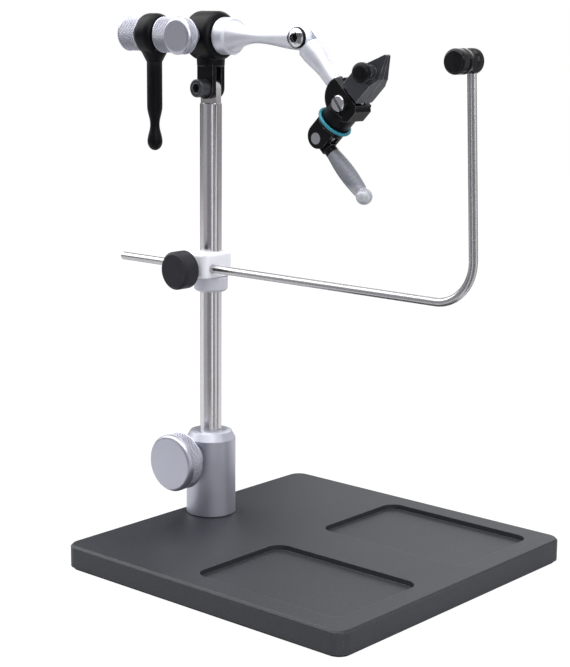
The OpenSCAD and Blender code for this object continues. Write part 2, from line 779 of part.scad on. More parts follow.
// The arm's tang swings in this slot
module tang_slot() {
    half = tang_half_w + wrist_gap;
    sweep = 2 * back_reach;
    dir = 90 - jaw_rise + 90 - lower_drop;
    side = [dir - jaw_swing_down, dir + jaw_swing_up];
    across(arm_tang_t + 2 * tang_slack) {
        circle(r = half, $fn = round_fn);
        polygon([
            [half * sin(side[0]), -half * cos(side[0])],
            [half * sin(side[0]) + sweep * cos(side[0]), sweep * sin(side[0]) - half * cos(side[0])],
            [sweep * cos(side[1]) - half * sin(side[1]), sweep * sin(side[1]) + half * cos(side[1])],
            [-half * sin(side[1]), half * cos(side[1])]
        ]);
    }
}

// Round shank for the O-ring, milled into the fork for the cam
module shank_and_fork() {
    difference() {
        translate([-fork_x - cut, 0, 0]) rotate([0, 90, 0])
            cylinder(h = fork_x - block_rear + 2 * cut, r = shank_r, $fn = round_fn);
        for (side = [-1, 1])
            translate([-fork_x - 2 * cut, side > 0 ? fork_t / 2 : -fork_t / 2 - shank_r, -shank_r])
                cube([2 * cut, shank_r, 2 * shank_r]);
        translate([-ring_x, 0, 0]) rotate([0, 90, 0]) rotate_extrude($fn = round_fn)
            translate([shank_r + o_ring_cord / 2 - ring_groove, 0])
                circle(r = o_ring_cord / 2 + seat, $fn = round_fn);
    }
    across(fork_t) {
        translate([-fork_round_x, 0]) circle(r = fork_half_w, $fn = round_fn);
        translate([-fork_round_x, -fork_half_w]) square([fork_round_x - fork_x + cut, 2 * fork_half_w]);
    }
}

// Black body of the jaw head: block, slot for the arm, pocket for the jaws, shank and fork
module jaw_holder() {
    color(black) at_jaws() difference() {
        union() {
            across(holder_t) block_outline();
            shank_and_fork();
        }
        tang_slot();
        rotate([90, 0, 0]) cylinder(h = holder_t + 2 * cut, r = lock_r + seat, center = true, $fn = round_fn);
        translate([block_front - pocket_depth, -pocket_half_t, -pocket_half_w])
            cube([pocket_depth + cut, 2 * pocket_half_t, 2 * pocket_half_w]);
        translate([block_front - rear_tail_l, rear_tail_in - pocket_gap, -tail_half_w - pocket_gap])
            cube([rear_tail_l, tail_t - rear_tail_in + tail_split + 2 * pocket_gap, 2 * (tail_half_w + pocket_gap)]);
        translate([-cam_slot_x, 0, 0]) translate([-2 * cam_x, -cam_t / 2 - cam_slot_gap, -2 * fork_half_w])
            cube([2 * cam_x, cam_t + 2 * cam_slot_gap, 4 * fork_half_w]);
        translate([-cam_x, 0, 0]) rotate([90, 0, 0])
            cylinder(h = fork_t + 2 * cut, r = cam_pin_r + seat, center = true, $fn = round_fn);
        translate([-cam_slot_x - cut, 0, -rod_push_n]) rotate([0, 90, 0])
            cylinder(h = cam_slot_x + block_front + 2 * cut, r = rod_push_r + fit, $fn = round_fn);
        translate([-guide_x, -fork_t, 0]) rotate([-90, 0, 0])
            cylinder(h = fork_t, r = guide_r + seat, $fn = round_fn);
    }
}

// Slotted screw that locks the jaw head's angle on the arm
module jaw_lock_screw() {
    color(steel) at_jaws() translate([0, -holder_t / 2, 0]) rotate([90, 0, 0]) difference() {
        union() {
            turned([[0, 0], [lock_head_r, 0], [lock_head_r, lock_head_h - lock_head_bevel],
                [lock_head_r - lock_head_bevel, lock_head_h], [0, lock_head_h]]);
            translate([0, 0, -holder_t]) cylinder(h = holder_t + seat, r = lock_r, $fn = round_fn);
        }
        rotate([0, 0, lock_slot_turn])
            translate([-lock_slot_w / 2, -lock_head_r - cut, lock_head_h - lock_slot_depth])
            cube([lock_slot_w, 2 * (lock_head_r + cut), lock_slot_depth + cut]);
    }
}

// Side outline of a jaw plate, rear end to blunt tip
module jaw_outline() {
    polygon([
        [jaw_x, -jaw_half_w], [nose_x, -jaw_half_w], [tip_reach - tip_half_w / 2, tip_n - tip_half_w],
        [tip_reach, tip_n - tip_half_w / 2], [tip_reach, tip_n + tip_half_w / 2],
        [tip_reach - tip_half_w / 2, tip_n + tip_half_w], [top_x, jaw_half_w], [jaw_x, jaw_half_w]
    ]);
}

// Plan of a jaw plate: full thickness, then a hollow scoop down to the thin front
module jaw_plan(t, relief) {
    rear = jaw_face_gap / 2 + relief * (adjust_x - jaw_x);
    polygon([
        [jaw_x, rear], [adjust_x, jaw_face_gap / 2], [tip_reach, jaw_face_gap / 2], [tip_reach, tip_t],
        for (i = [0 : scoop_steps]) let (u = i / scoop_steps)
            [scoop_end_x + (scoop_x - scoop_end_x) * u, thin_t + (t - thin_t) * pow(u, scoop_curve)],
        for (a = [90 : 15 : 180])
            [jaw_x + jaw_rear_round * (1 + cos(a)), t - jaw_rear_round * (1 - sin(a))]
    ]);
}

// One jaw plate; side -1 is the tyer's
module jaw_plate(side, t, relief) {
    mirror([0, side < 0 ? 1 : 0, 0]) intersection() {
        across(4 * t) jaw_outline();
        translate([0, 0, -2 * jaw_half_w]) linear_extrude(4 * jaw_half_w) jaw_plan(t, relief);
    }
}

// A conical seat at the jaws' rear edge for the push rod's tip
module push_seat() {
    translate([jaw_x - seat, 0, -rod_push_n]) rotate([0, 90, 0])
        turned([[0, 0], [rod_push_r + tail_split, 0], [0, push_tip_l + rod_push_r]]);
}

// Round ridge along the jaws' height on which the front jaw rocks
module fulcrum(gap) {
    translate([adjust_x, 0, -fulcrum_reach - gap])
        cylinder(h = 2 * (fulcrum_reach + gap), r = fulcrum_r + gap, $fn = round_fn);
}

module jaw_rear() {
    color(black) at_jaws() difference() {
        union() {
            jaw_plate(1, rear_jaw_t, 0);
            translate([block_front - rear_tail_l + pocket_gap, rear_tail_in, -tail_half_w])
                cube([rear_tail_l + jaw_gap + jaw_rear_round, tail_t - rear_tail_in + tail_split, 2 * tail_half_w]);
        }
        rotate([90, 0, 0]) cylinder(h = 2 * holder_t, r = lock_r + seat, center = true, $fn = round_fn);
        translate([adjust_x, 0, 0]) rotate([90, 0, 0])
            cylinder(h = 2 * holder_t, r = adjust_stud_r + seat, center = true, $fn = round_fn);
        fulcrum(fit);
        push_seat();
    }
}

module jaw_front() {
    color(black) at_jaws() difference() {
        union() {
            jaw_plate(-1, jaw_t, tan(jaw_open + jaw_relief_extra));
            fulcrum(0);
            translate([adjust_x, -thin_t / 2, 0]) rotate([90, 0, 0])
                cylinder(h = jaw_t - thin_t / 2, r = boss_r, $fn = round_fn);
            translate([block_front - front_tail_l + seat, -tail_t - tail_split, -tail_half_w])
                cube([front_tail_l + jaw_gap + jaw_rear_round, tail_t - front_tail_in, 2 * tail_half_w]);
        }
        translate([adjust_x, 0, 0]) rotate([90, 0, 0])
            cylinder(h = 2 * holder_t, r = adjust_stud_r + adjust_rock, center = true, $fn = round_fn);
        push_seat();
    }
}

// Domed knob that sets the jaws for the hook's wire
module jaw_adjust_knob() {
    low = jaw_t + adjust_gap;
    color(black) at_jaws() translate([adjust_x, -low, 0]) rotate([90, 0, 0]) difference() {
        turned([[0, -adjust_gap + adjust_rock], [adjust_neck_r, -adjust_gap + adjust_rock], [adjust_neck_r, 0],
            [adjust_r - seat_bevel, 0], [adjust_r, seat_bevel],
            for (a = [0 : 10 : 90])
                [adjust_r - adjust_round + adjust_round * cos(a), adjust_h - adjust_dome + adjust_dome * sin(a)],
            [0, adjust_h]]);
        translate([0, 0, -adjust_gap])
            cylinder(h = adjust_gap + adjust_h / 2, r = adjust_stud_r + seat, $fn = round_fn);
    }
}

module jaw_adjust_screw() {
    color(steel) at_jaws() translate([adjust_x, adjust_end, 0]) rotate([90, 0, 0])
        stud(adjust_stud_r, adjust_end + jaw_t + adjust_gap + adjust_h / 2 - adjust_gap / 2);
}

// Dowel across the front leg of the fork
module jaw_guide_pin() {
    color(steel) at_jaws() translate([-guide_x, -fork_t / 2 - guide_proud, 0]) rotate([-90, 0, 0])
        cylinder(h = fork_t / 2, r = guide_r, $fn = round_fn);
}

module o_ring() {
    color(teal) at_jaws() translate([-ring_x, 0, 0]) rotate([0, 90, 0]) rotate_extrude($fn = round_fn)
        translate([shank_r + o_ring_cord / 2 - ring_groove, 0]) circle(r = o_ring_cord / 2, $fn = round_fn);
}

// Rod that the cam pushes forward to spread the jaws' rear ends
module push_rod() {
    rear = cam_x - cam_flank_r - rod_push_gap;
    body = rear + jaw_x - push_tip_l / 2;
    color(steel) at_jaws() translate([-rear, 0, -rod_push_n]) rotate([0, 90, 0])
        turned([[0, 0], [rod_push_r, 0], [rod_push_r, body],
            [push_tip_r, body + push_tip_l], [0, body + push_tip_l]]);
}

// Cam frame: origin on the pin's axis, Z down the lever
module at_cam() {
    at_jaws() translate([-cam_x, 0, 0]) rotate([180, 0, 0]) children();
}

// Black cam between the fork's legs, with the round collar of the grip
module cam_head() {
    color(black) at_cam() difference() {
        union() {
            across(cam_t) {
                circle(r = cam_r, $fn = round_fn);
                translate([-cam_flank_r, 0]) square([2 * cam_flank_r, cam_l - cam_collar_l]);
            }
            translate([0, 0, cam_l - cam_collar_l - cut / 2]) turned([[0, 0], [cam_t / 2, 0], [grip_start_r, cut / 2],
                [grip_start_r, cam_collar_l + cut / 2], [0, cam_collar_l + cut / 2]]);
        }
        rotate([90, 0, 0]) cylinder(h = 2 * cam_t, r = cam_pin_r + fit, center = true, $fn = round_fn);
        translate([0, 0, cam_l - cam_collar_l]) cylinder(h = cam_collar_l + cut, r = spigot_r + seat, $fn = round_fn);
    }
}

// Half outline of the silver lever, from its spigot in the cam to the ball
grip_outline = [
    [0, cam_l - cam_collar_l + seat], [spigot_r, cam_l - cam_collar_l + seat],
    [spigot_r, cam_l], [grip_start_r, cam_l],
    for (i = [1 : profile_steps / 2]) let (u = 2 * i / profile_steps)
        [grip_start_r + (grip_end_r - grip_start_r) * u + (grip_r - grip_start_r) * sin(180 * u),
         cam_l + (grip_end - cam_l) * u],
    [ball_neck_r, grip_end + grip_end_r - ball_neck_r],
    for (i = [0 : ball_steps - 1]) let (a = 90 - (90 + acos(ball_neck_r / ball_r)) * (1 - i / ball_steps))
        [ball_r * cos(a), ball_l + ball_r * sin(a)],
    [0, ball_l + ball_r]
];

module cam_lever() {
    color(silver) at_cam() turned(grip_outline);
}

module cam_pin() {
    color(steel) at_jaws() translate([-cam_x, 0, 0]) rotate([90, 0, 0])
        cylinder(h = fork_t, r = cam_pin_r, center = true, $fn = round_fn);
}

// Cradle frame: the stem's axis at the height of the rod
module at_cradle() {
    translate([stem_x, 0, plate_top + rod_z]) children();
}

// Upright outline of the clamp block, from one side to the other, with round top corners
module clamp_outline(from, to) {
    low = clamp_low - rod_z;
    top = low + clamp_h;
    translate([from, low]) square([to - from, clamp_h - clamp_round]);
    translate([from + clamp_round, low]) square([to - from - 2 * clamp_round, clamp_h]);
    for (x = [from + clamp_round, to - clamp_round])
        translate([x, top - clamp_round]) circle(r = clamp_round, $fn = round_fn);
}

// Block that turns on the stem and takes the rod through its front half
module cradle_clamp() {
    color(silver) at_cradle() difference() {
        intersection() {
            rotate([90, 0, 0]) translate([0, 0, -clamp_back])
                linear_extrude(clamp_front + clamp_back) clamp_outline(-clamp_w / 2, clamp_w / 2);
            rotate([90, 0, 90]) translate([0, 0, -clamp_w / 2])
                linear_extrude(clamp_w) clamp_outline(-clamp_front, clamp_back);
            translate([0, (clamp_back - clamp_front) / 2, -clamp_h])
                rounded_slab(clamp_w, clamp_front + clamp_back, 2 * clamp_h, clamp_corner_r);
        }
        cylinder(h = 4 * clamp_h, r = stem_r + fit, center = true, $fn = round_fn);
        translate([0, -rod_y, 0]) rotate([0, 90, 0])
            cylinder(h = 2 * clamp_w, r = rod_r + fit, center = true, $fn = round_fn);
        translate([0, -rod_y, 0]) rotate([90, 0, 0])
            cylinder(h = clamp_front, r = cradle_stud_r + fit, $fn = round_fn);
    }
}

// Collar below the clamp that keeps its height
module height_collar() {
    top = clamp_low - collar_gap;
    color(silver) translate([stem_x, 0, plate_top + top - height_collar_h]) difference() {
        turned([[0, 0], [height_collar_r - height_collar_bevel, 0], [height_collar_r, height_collar_bevel],
            [height_collar_r, height_collar_h], [0, height_collar_h]]);
        translate([0, 0, -cut]) cylinder(h = height_collar_h + 2 * cut, r = stem_r + fit, $fn = round_fn);
        translate([0, 0, height_collar_h / 2]) rotate([-90, 0, 0])
            cylinder(h = 2 * height_collar_r, r = set_screw_r + seat, $fn = round_fn);
    }
}

module collar_set_screw() {
    start = stem_r + stud_tip_gap;
    z = clamp_low - collar_gap - height_collar_h / 2;
    color(steel) translate([stem_x, start, plate_top + z]) rotate([-90, 0, 0]) difference() {
        cylinder(h = height_collar_r - set_screw_sink - start, r = set_screw_r, $fn = round_fn);
        translate([0, 0, (height_collar_r - start) / 2])
            cylinder(h = height_collar_r, r = set_screw_r / 2, $fn = hex_fn);
    }
}

module cradle_knob() {
    color(black) at_cradle() translate([0, -clamp_front - cradle_knob_gap, 0]) rotate([90, 0, 0])
        knob(cradle_knob_r, cradle_knob_l, cradle_neck_r, cradle_knob_gap - knob_neck_gap, cradle_stud_r);
}

module cradle_knob_screw() {
    start = rod_y + rod_r + stud_tip_gap;
    color(steel) at_cradle() translate([0, -start, 0]) rotate([90, 0, 0])
        stud(cradle_stud_r, clamp_front + cradle_knob_gap + cradle_knob_l / 2 - start - seat);
}

// Bent rod: level through the clamp, a round bend, then nearly upright to the spool
module cradle_rod() {
    turn = 90 + rod_lean;
    rise = spool_rise + spool_rod_end;
    bend_x = rod_front - rod_bend_r;
    straight = (rise - rod_bend_r - rod_bend_r * sin(rod_lean)) / cos(rod_lean);
    color(steel) at_cradle() translate([0, -rod_y, 0]) {
        translate([-rod_back, 0, 0]) rotate([0, 90, 0]) turned([[0, 0], [rod_r - rod_tip, 0], [rod_r, rod_tip],
            [rod_r, rod_back + bend_x], [0, rod_back + bend_x]]);
        translate([bend_x, 0, rod_bend_r]) rotate([90, 0, 0]) rotate([0, 0, -90])
            rotate_extrude(angle = turn, $fn = 2 * round_fn)
            translate([rod_bend_r, 0]) circle(r = rod_r, $fn = round_fn);
        // The upright is a hair thicker than the bend, so their union stays exact
        translate([bend_x, 0, rod_bend_r]) rotate([0, -rod_lean, 0]) translate([rod_bend_r, 0, -seam_l])
            cylinder(h = straight + seam_l, r = rod_r + seam_step, $fn = round_fn);
    }
}

// Half outline of the spool: rear flange, hollow waist, ridge, groove, round front flange
spool_ridge_z = spool_rear_l + spool_waist_l;
spool_groove_z = spool_ridge_z + spool_ridge_l;
spool_outline = [
    [0, 0], [spool_r - spool_bevel, 0], [spool_r, spool_bevel],
    for (i = [0 : waist_steps]) let (u = i / waist_steps)
        [spool_r - spool_r * (1 - spool_waist_share) * sin(180 * u), spool_rear_l + spool_waist_l * u],
    [spool_r, spool_groove_z], [spool_r * spool_waist_share, spool_groove_z + spool_groove_l / 2],
    [spool_r, spool_groove_z + spool_groove_l],
    for (a = [0 : 15 : 90])
        [spool_r - spool_front_round * (1 - cos(a)), spool_l - spool_front_round * (1 - sin(a))],
    [0, spool_l]
];

module cradle_spool() {
    upright = spool_rise - rod_bend_r - rod_bend_r * sin(rod_lean);
    lean_x = rod_front - rod_bend_r + rod_bend_r * cos(rod_lean) - upright * tan(rod_lean);
    color(black) at_cradle() translate([lean_x, spool_back - rod_y, spool_rise]) rotate([90, 0, 0]) difference() {
        turned(spool_outline);
        translate([0, 0, spool_back]) rotate([90, 0, 0]) rotate([0, rod_lean, 0])
            translate([0, 0, spool_rod_end - seat])
            cylinder(h = 2 * spool_r, r = rod_r + seam_step + seat, $fn = round_fn);
    }
}

base_plate();
base_pad();
stem_socket();
socket_bolt();
socket_knob();
socket_knob_screw();
stem();
head_housing();
pivot_screw();
shaft_bushings();
rotary_shaft();
flange_ring();
shaft_collar();
crank_handle();
end_knob();
lock_knob();
lock_knob_screw();
upper_arm();
elbow_screw();
lower_arm();
jaw_holder();
jaw_lock_screw();
jaw_rear();
jaw_front();
jaw_adjust_knob();
jaw_adjust_screw();
jaw_guide_pin();
o_ring();
push_rod();
cam_head();
cam_lever();
cam_pin();
cradle_clamp();
height_collar();
collar_set_screw();
cradle_knob();
cradle_knob_screw();
cradle_rod();
cradle_spool();
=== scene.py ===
# %% [markdown]
# Rotary fly tying vise
#
# The vise stands on a square black plate. A round steel stem carries a black head, and a shaft through
# the head turns the arms that hold the jaws. The CAD model already has every part at its real size and
# place, so this file gives the parts their finishes, cuts the knurls and threads that the CAD leaves
# smooth, and sets up the studio. Lengths of the vise are in millimetres until a mesh is made, where MM
# turns them into metres.

# %% Load the frame
import json
import math
import bpy
import bmesh
from mathutils import Matrix, Vector


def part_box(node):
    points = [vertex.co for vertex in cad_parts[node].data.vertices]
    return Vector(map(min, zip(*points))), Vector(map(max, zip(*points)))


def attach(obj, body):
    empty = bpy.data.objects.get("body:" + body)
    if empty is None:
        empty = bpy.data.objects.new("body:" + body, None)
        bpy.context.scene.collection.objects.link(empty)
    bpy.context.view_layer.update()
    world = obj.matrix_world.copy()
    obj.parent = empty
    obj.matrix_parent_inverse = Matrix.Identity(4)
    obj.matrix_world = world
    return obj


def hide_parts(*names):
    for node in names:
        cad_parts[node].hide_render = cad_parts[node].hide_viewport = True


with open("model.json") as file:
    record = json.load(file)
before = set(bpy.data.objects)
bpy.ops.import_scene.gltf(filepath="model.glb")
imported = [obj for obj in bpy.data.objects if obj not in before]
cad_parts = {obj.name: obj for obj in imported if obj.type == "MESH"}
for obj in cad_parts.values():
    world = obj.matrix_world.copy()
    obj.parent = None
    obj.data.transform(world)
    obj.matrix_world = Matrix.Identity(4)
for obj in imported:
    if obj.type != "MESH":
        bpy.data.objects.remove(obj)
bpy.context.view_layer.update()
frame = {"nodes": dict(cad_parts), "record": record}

MM = 0.001

# %% [markdown]
# The camera
#
# A product photo like this is taken with a long lens from a little above the bench. Seen that way the
# upright lines stay nearly parallel. The camera could be aimed with a constraint, but its place and its
# three angles are written down here, so the picture frame is the same each time. The right, up and back
# directions of a camera are simply the columns of its rotation matrix.

# %% Camera
CAMERA_PLACE = Vector((431.016, -515.597, 233.989))
CAMERA_TURN = 0.7175634
CAMERA_TIP = 0.1948558
CAMERA_ROLL = 0.0086302
FOCAL_PIXELS = 1630.605
PICTURE_HEIGHT = 667
SENSOR_SIZE = 36.0
NEAREST_SEEN = 0.02
FARTHEST_SEEN = 50


def aim_camera():
    """Makes the camera from its place, turn, tip and roll."""
    level = Vector((math.cos(CAMERA_TURN), math.sin(CAMERA_TURN), 0))
    back = Vector((math.sin(CAMERA_TURN) * math.cos(CAMERA_TIP),
                   -math.cos(CAMERA_TURN) * math.cos(CAMERA_TIP), math.sin(CAMERA_TIP)))
    up = back.cross(level)
    side = math.cos(CAMERA_ROLL) * level + math.sin(CAMERA_ROLL) * up
    top = math.cos(CAMERA_ROLL) * up - math.sin(CAMERA_ROLL) * level
    lens_data = bpy.data.cameras.new("Product camera")
    lens_data.sensor_fit = "AUTO"
    lens_data.sensor_width = SENSOR_SIZE
    lens_data.lens = FOCAL_PIXELS / PICTURE_HEIGHT * SENSOR_SIZE
    lens_data.clip_start = NEAREST_SEEN
    lens_data.clip_end = FARTHEST_SEEN
    camera = bpy.data.objects.new("Product camera", lens_data)
    turn = Matrix((side, top, back)).transposed().to_4x4()
    camera.matrix_world = Matrix.Translation(CAMERA_PLACE * MM) @ turn
    bpy.context.collection.objects.link(camera)
    bpy.context.scene.camera = camera
    return camera


camera = aim_camera()
bpy.context.scene.view_settings.view_transform = "Standard"
print("Lens:", round(camera.data.lens, 2), "mm")

# %% [markdown]
# Shader maths as plain expressions
#
# A procedural finish is a small calculation that runs at every point of the surface: noise times a
# scale, plus a base value, and so on. Wiring each step by hand hides the idea, so one small class wraps
# a socket, and Python's own + - * add the Math nodes. Colours are mixed with a Mix node, because a
# Math node would turn a colour grey.

# %% The socket class
class Wire:
    """One output socket of a material, with arithmetic."""

    def __init__(self, tree, socket):
        self.tree = tree
        self.socket = socket

    def _math(self, operation, first, second):
        return node(self.tree, "ShaderNodeMath", {"operation": operation}, {0: first, 1: second})

    def __add__(self, other):
        return self._math("ADD", self, other)

    def __radd__(self, other):
        return self._math("ADD", other, self)

    def __sub__(self, other):
        return self._math("SUBTRACT", self, other)

    def __rsub__(self, other):
        return self._math("SUBTRACT", other, self)

    def __mul__(self, other):
        return self._math("MULTIPLY", self, other)

    def __rmul__(self, other):
        return self._math("MULTIPLY", other, self)

    def clamp(self):
        """Holds the value between 0 and 1."""
        return self._math("MINIMUM", self._math("MAXIMUM", self, 0), 1)

    def ramp(self, low, high):
        """Maps low..high to 0..1, held at both ends."""
        return node(self.tree, "ShaderNodeMapRange", {"clamp": True},
                    {"Value": self, "From Min": low, "From Max": high})


print("Wire knows + - * and", [name for name in vars(Wire) if not name.startswith("_")])

# %% Node helpers
def node(tree, kind, settings=None, inputs=None, output=0):
    """Adds one node: its settings first, then the values or links of its sockets."""
    made = tree.nodes.new(kind)
    for name, value in (settings or {}).items():
        setattr(made, name, value)
    for name, value in (inputs or {}).items():
        if isinstance(value, Wire):
            tree.links.new(value.socket, made.inputs[name])
        else:
            made.inputs[name].default_value = value
    return Wire(tree, made.outputs[output]) if made.outputs else None


def vector_math(tree, operation, first, second, output="Vector"):
    """One Vector Math node. A dot product or a distance comes out at Value."""
    return node(tree, "ShaderNodeVectorMath", {"operation": operation}, {0: first, 1: second}, output)


# A Mix node has one set of sockets for each kind of value. These are the numbers of the colour set.
MIX_FACTOR, MIX_FIRST, MIX_SECOND, MIX_RESULT = 0, 6, 7, 2


def mix_colours(tree, factor, first, second):
    """Blends two colours, from first at 0 to second at 1."""
    return node(tree, "ShaderNodeMix", {"data_type": "RGBA"},
                {MIX_FACTOR: factor, MIX_FIRST: first, MIX_SECOND: second}, MIX_RESULT)


def rgb(red, green, blue):
    """An opaque colour from three linear values."""
    return (red, green, blue, 1.0)


print("Node helpers ready")

# %% [markdown]
# The floor and the sky
#
# The real vise was photographed on white. The world is white to the camera, and dim as a light. In
# reflections it is fairly bright behind the vise, and dim on the tyer's side, which keeps the black
# parts black. The floor only looks white to the camera: a grey, matt floor takes the shadow, and a glow
# that only camera rays see lifts it. Brighter lamps would do that too, but they would burn out the
# silver parts. Sizes in the studio are in metres.

# %% Floor and world
FLOOR_RADIUS = 6.0
FLOOR_SIDES = 96
FLOOR_DROP = 0.0002
FLOOR_GREY = rgb(0.52, 0.52, 0.53)
FLOOR_LIFT = 0.9
FLOOR_GLOW = 1.09
WHITE = rgb(1, 1, 1)
SKY = 0.34
SHINE_FRONT = 0.14
SHINE_BACK = 0.75
# The sky's shine goes from front to back between these two values of a direction's Y.
FRONT_ENDS = -0.55
BACK_STARTS = 0.25


def light_path(tree, name):
    """One output of Light Path, which says what kind of ray is asking."""
    return node(tree, "ShaderNodeLightPath", output=name)


def make_floor():
    """A wide disc just under the vise, lifted towards white for the camera."""
    mesh = bpy.data.meshes.new("studio_floor")
    shape = bmesh.new()
    bmesh.ops.create_circle(shape, cap_ends=True, radius=FLOOR_RADIUS, segments=FLOOR_SIDES)
    shape.to_mesh(mesh)
    shape.free()
    floor = bpy.data.objects.new("studio_floor", mesh)
    floor.location = (0, 0, -FLOOR_DROP)
    bpy.context.collection.objects.link(floor)
    finish = bpy.data.materials.new("studio_white")
    finish.use_nodes = True
    tree = finish.node_tree
    tree.nodes.clear()
    matt = node(tree, "ShaderNodeBsdfDiffuse", inputs={"Color": FLOOR_GREY})
    glow = node(tree, "ShaderNodeEmission", inputs={"Color": WHITE, "Strength": FLOOR_GLOW})
    lift = light_path(tree, "Is Camera Ray") * FLOOR_LIFT
    both = node(tree, "ShaderNodeMixShader", inputs={0: lift, 1: matt, 2: glow})
    node(tree, "ShaderNodeOutputMaterial", inputs={"Surface": both})
    mesh.materials.append(finish)


def make_world():
    """A dim sky as a light, white to the camera. Reflections see it dim in front and bright behind."""
    world = bpy.data.worlds.new("studio_world")
    bpy.context.scene.world = world
    world.use_nodes = True
    tree = world.node_tree
    tree.nodes.clear()
    seen = (light_path(tree, "Is Camera Ray") + light_path(tree, "Is Transmission Ray")).clamp()
    glossy = light_path(tree, "Is Glossy Ray")
    way = node(tree, "ShaderNodeTexCoord")
    depth = node(tree, "ShaderNodeSeparateXYZ", inputs={"Vector": way}, output="Y")
    shine = SHINE_FRONT + depth.ramp(FRONT_ENDS, BACK_STARTS) * (SHINE_BACK - SHINE_FRONT)
    level = SKY + seen * (1 - SKY) + glossy * (shine - SKY)
    sky = node(tree, "ShaderNodeBackground", inputs={"Color": WHITE, "Strength": level})
    node(tree, "ShaderNodeOutputWorld", inputs={"Surface": sky})


make_floor()
make_world()
print("Floor radius:", FLOOR_RADIUS, "m")

# %% [markdown]
# Lamps
#
# In the photo the tops are nearly white and the upright sides are a quiet mid grey, so most of the light
# comes from one big soft box above. A single lamp would leave the left side too dark. Two weaker lamps
# at the sides lighten the arms and the socket, and a small one behind draws a thin rim.

# %% Lamps
# Each row: name, place, width and height in metres, power in watts.
LAMPS = [
    ("soft_box", (0.05, -0.25, 1.30), 1.50, 1.50, 24.0),
    ("left_lamp", (-0.90, -0.30, 0.90), 1.00, 1.00, 10.0),
    ("right_lamp", (1.15, -0.20, 0.60), 1.00, 0.80, 9.0),
    ("rim_lamp", (-0.20, 0.95, 0.70), 0.90, 0.50, 2.0),
]
AIM = Vector((-0.02, 0, 0.12))


def make_lamps():
    """Area lamps, each with its face to the vise."""
    for name, place, width, height, power in LAMPS:
        data = bpy.data.lights.new(name, "AREA")
        data.shape = "RECTANGLE"
        data.size = width
        data.size_y = height
        data.energy = power
        lamp = bpy.data.objects.new(name, data)
        lamp.location = place
        lamp.rotation_euler = (AIM - Vector(place)).to_track_quat("-Z", "Y").to_euler()
        bpy.context.collection.objects.link(lamp)


make_lamps()
print("Lamps:", [row[0] for row in LAMPS])

# %% [markdown]
# Cards round the stem
#
# Polished steel shows what is around it as upright bands. The studio could be painted into the world,
# but a ring of cards round the stem is easier to read: dark and bright cards side by side give the stem
# its streaks. Only reflections see the cards. The dark one behind the stem keeps the left part of the
# plate black.

# %% Cards
CARD_AWAY = 0.20
CARD_HEIGHT = 0.24
CARD_BLUE = 1.05
STEM_FOOT = Vector((-0.0628, 0, 0))
# Each row: name, angle round the stem from the camera's side, width as an angle, brightness.
CARDS = [
    ("card_left", -60, 42, 0.46),
    ("card_middle", -14, 48, 0.26),
    ("strip_middle", 16, 8, 1.50),
    ("card_right", 35, 26, 0.27),
    ("strip_right", 58, 14, 1.00),
    ("card_far_right", 80, 20, 0.30),
    ("card_behind", -168, 40, 0.05),
]


def make_cards():
    """Upright glowing cards round the stem that only reflections see."""
    for name, angle, spread, shade in CARDS:
        mesh = bpy.data.meshes.new(name)
        half = CARD_AWAY * math.tan(math.radians(spread / 2))
        mesh.from_pydata([(-half, 0, 0), (half, 0, 0), (half, 0, CARD_HEIGHT), (-half, 0, CARD_HEIGHT)],
                         [], [(0, 1, 2, 3)])
        finish = bpy.data.materials.new(name + "_paper")
        finish.use_nodes = True
        tree = finish.node_tree
        tree.nodes.clear()
        glow = node(tree, "ShaderNodeEmission", inputs={"Color": rgb(shade, shade, shade * CARD_BLUE)})
        node(tree, "ShaderNodeOutputMaterial", inputs={"Surface": glow})
        mesh.materials.append(finish)
        card = bpy.data.objects.new(name, mesh)
        turn = CAMERA_TURN + math.radians(angle)
        card.location = STEM_FOOT + CARD_AWAY * Vector((math.sin(turn), -math.cos(turn), 0))
        card.rotation_euler = (0, 0, turn)
        bpy.context.collection.objects.link(card)
        card.visible_camera = False
        card.visible_diffuse = False
        card.visible_shadow = False
        card.visible_transmission = False


make_cards()
print("Cards:", [row[0] for row in CARDS])

# %% [markdown]
# Finishes: how they are built
#
# Every finish here starts from one Principled shader. What is the same all over, such as metallic, is
# set on the shader. Colour, roughness and the surface's small bumps change from point to point, so noise
# drives those. The coordinates are the object's own, in metres: a grain keeps its size on every part and
# stays put when the part moves. Finishes of one family share a function, and a table has their values.

# %% Finish helpers
FINISHES = {}


def start_finish(name, **fixed):
    """A material with one Principled shader, and its fixed socket values."""
    finish = bpy.data.materials.new(name)
    finish.use_nodes = True
    tree = finish.node_tree
    tree.nodes.clear()
    shader = tree.nodes.new("ShaderNodeBsdfPrincipled")
    for socket, value in fixed.items():
        shader.inputs[socket.replace("_", " ")].default_value = value
    node(tree, "ShaderNodeOutputMaterial", inputs={"Surface": Wire(tree, shader.outputs[0])})
    FINISHES[name] = finish
    return tree, shader


def feed(tree, shader, **links):
    """Links what changes over the surface into the shader."""
    for socket, wire in links.items():
        tree.links.new(wire.socket, shader.inputs[socket.replace("_", " ")])


def make_each(make, rows):
    """Makes one finish for each row of a table. A row starts with the finish's name."""
    for row in rows:
        make(*row)
    print("Made", [row[0] for row in rows])


print("Finish helpers ready")

# %% [markdown]
# Grain, bumps and edges
#
# Real metal and paint are never quite even. Noise gives the grain and the slow clouds, and a Bump node
# turns the grain into a normal. No real edge is quite sharp either, so a Bevel node rounds the normal
# there, which is cheaper than a rounded mesh. Where the rounded normal leaves the true one there is an
# edge, so the same node also finds the edges where a skin wears off first and where a highlight is
# painted.

# %% Grain, bumps and edges
BEVEL_SAMPLES = 6
# An edge begins to count where the two normals part by the first value, and counts fully at the second.
EDGE_STARTS = 0.02
EDGE_FULL = 0.18


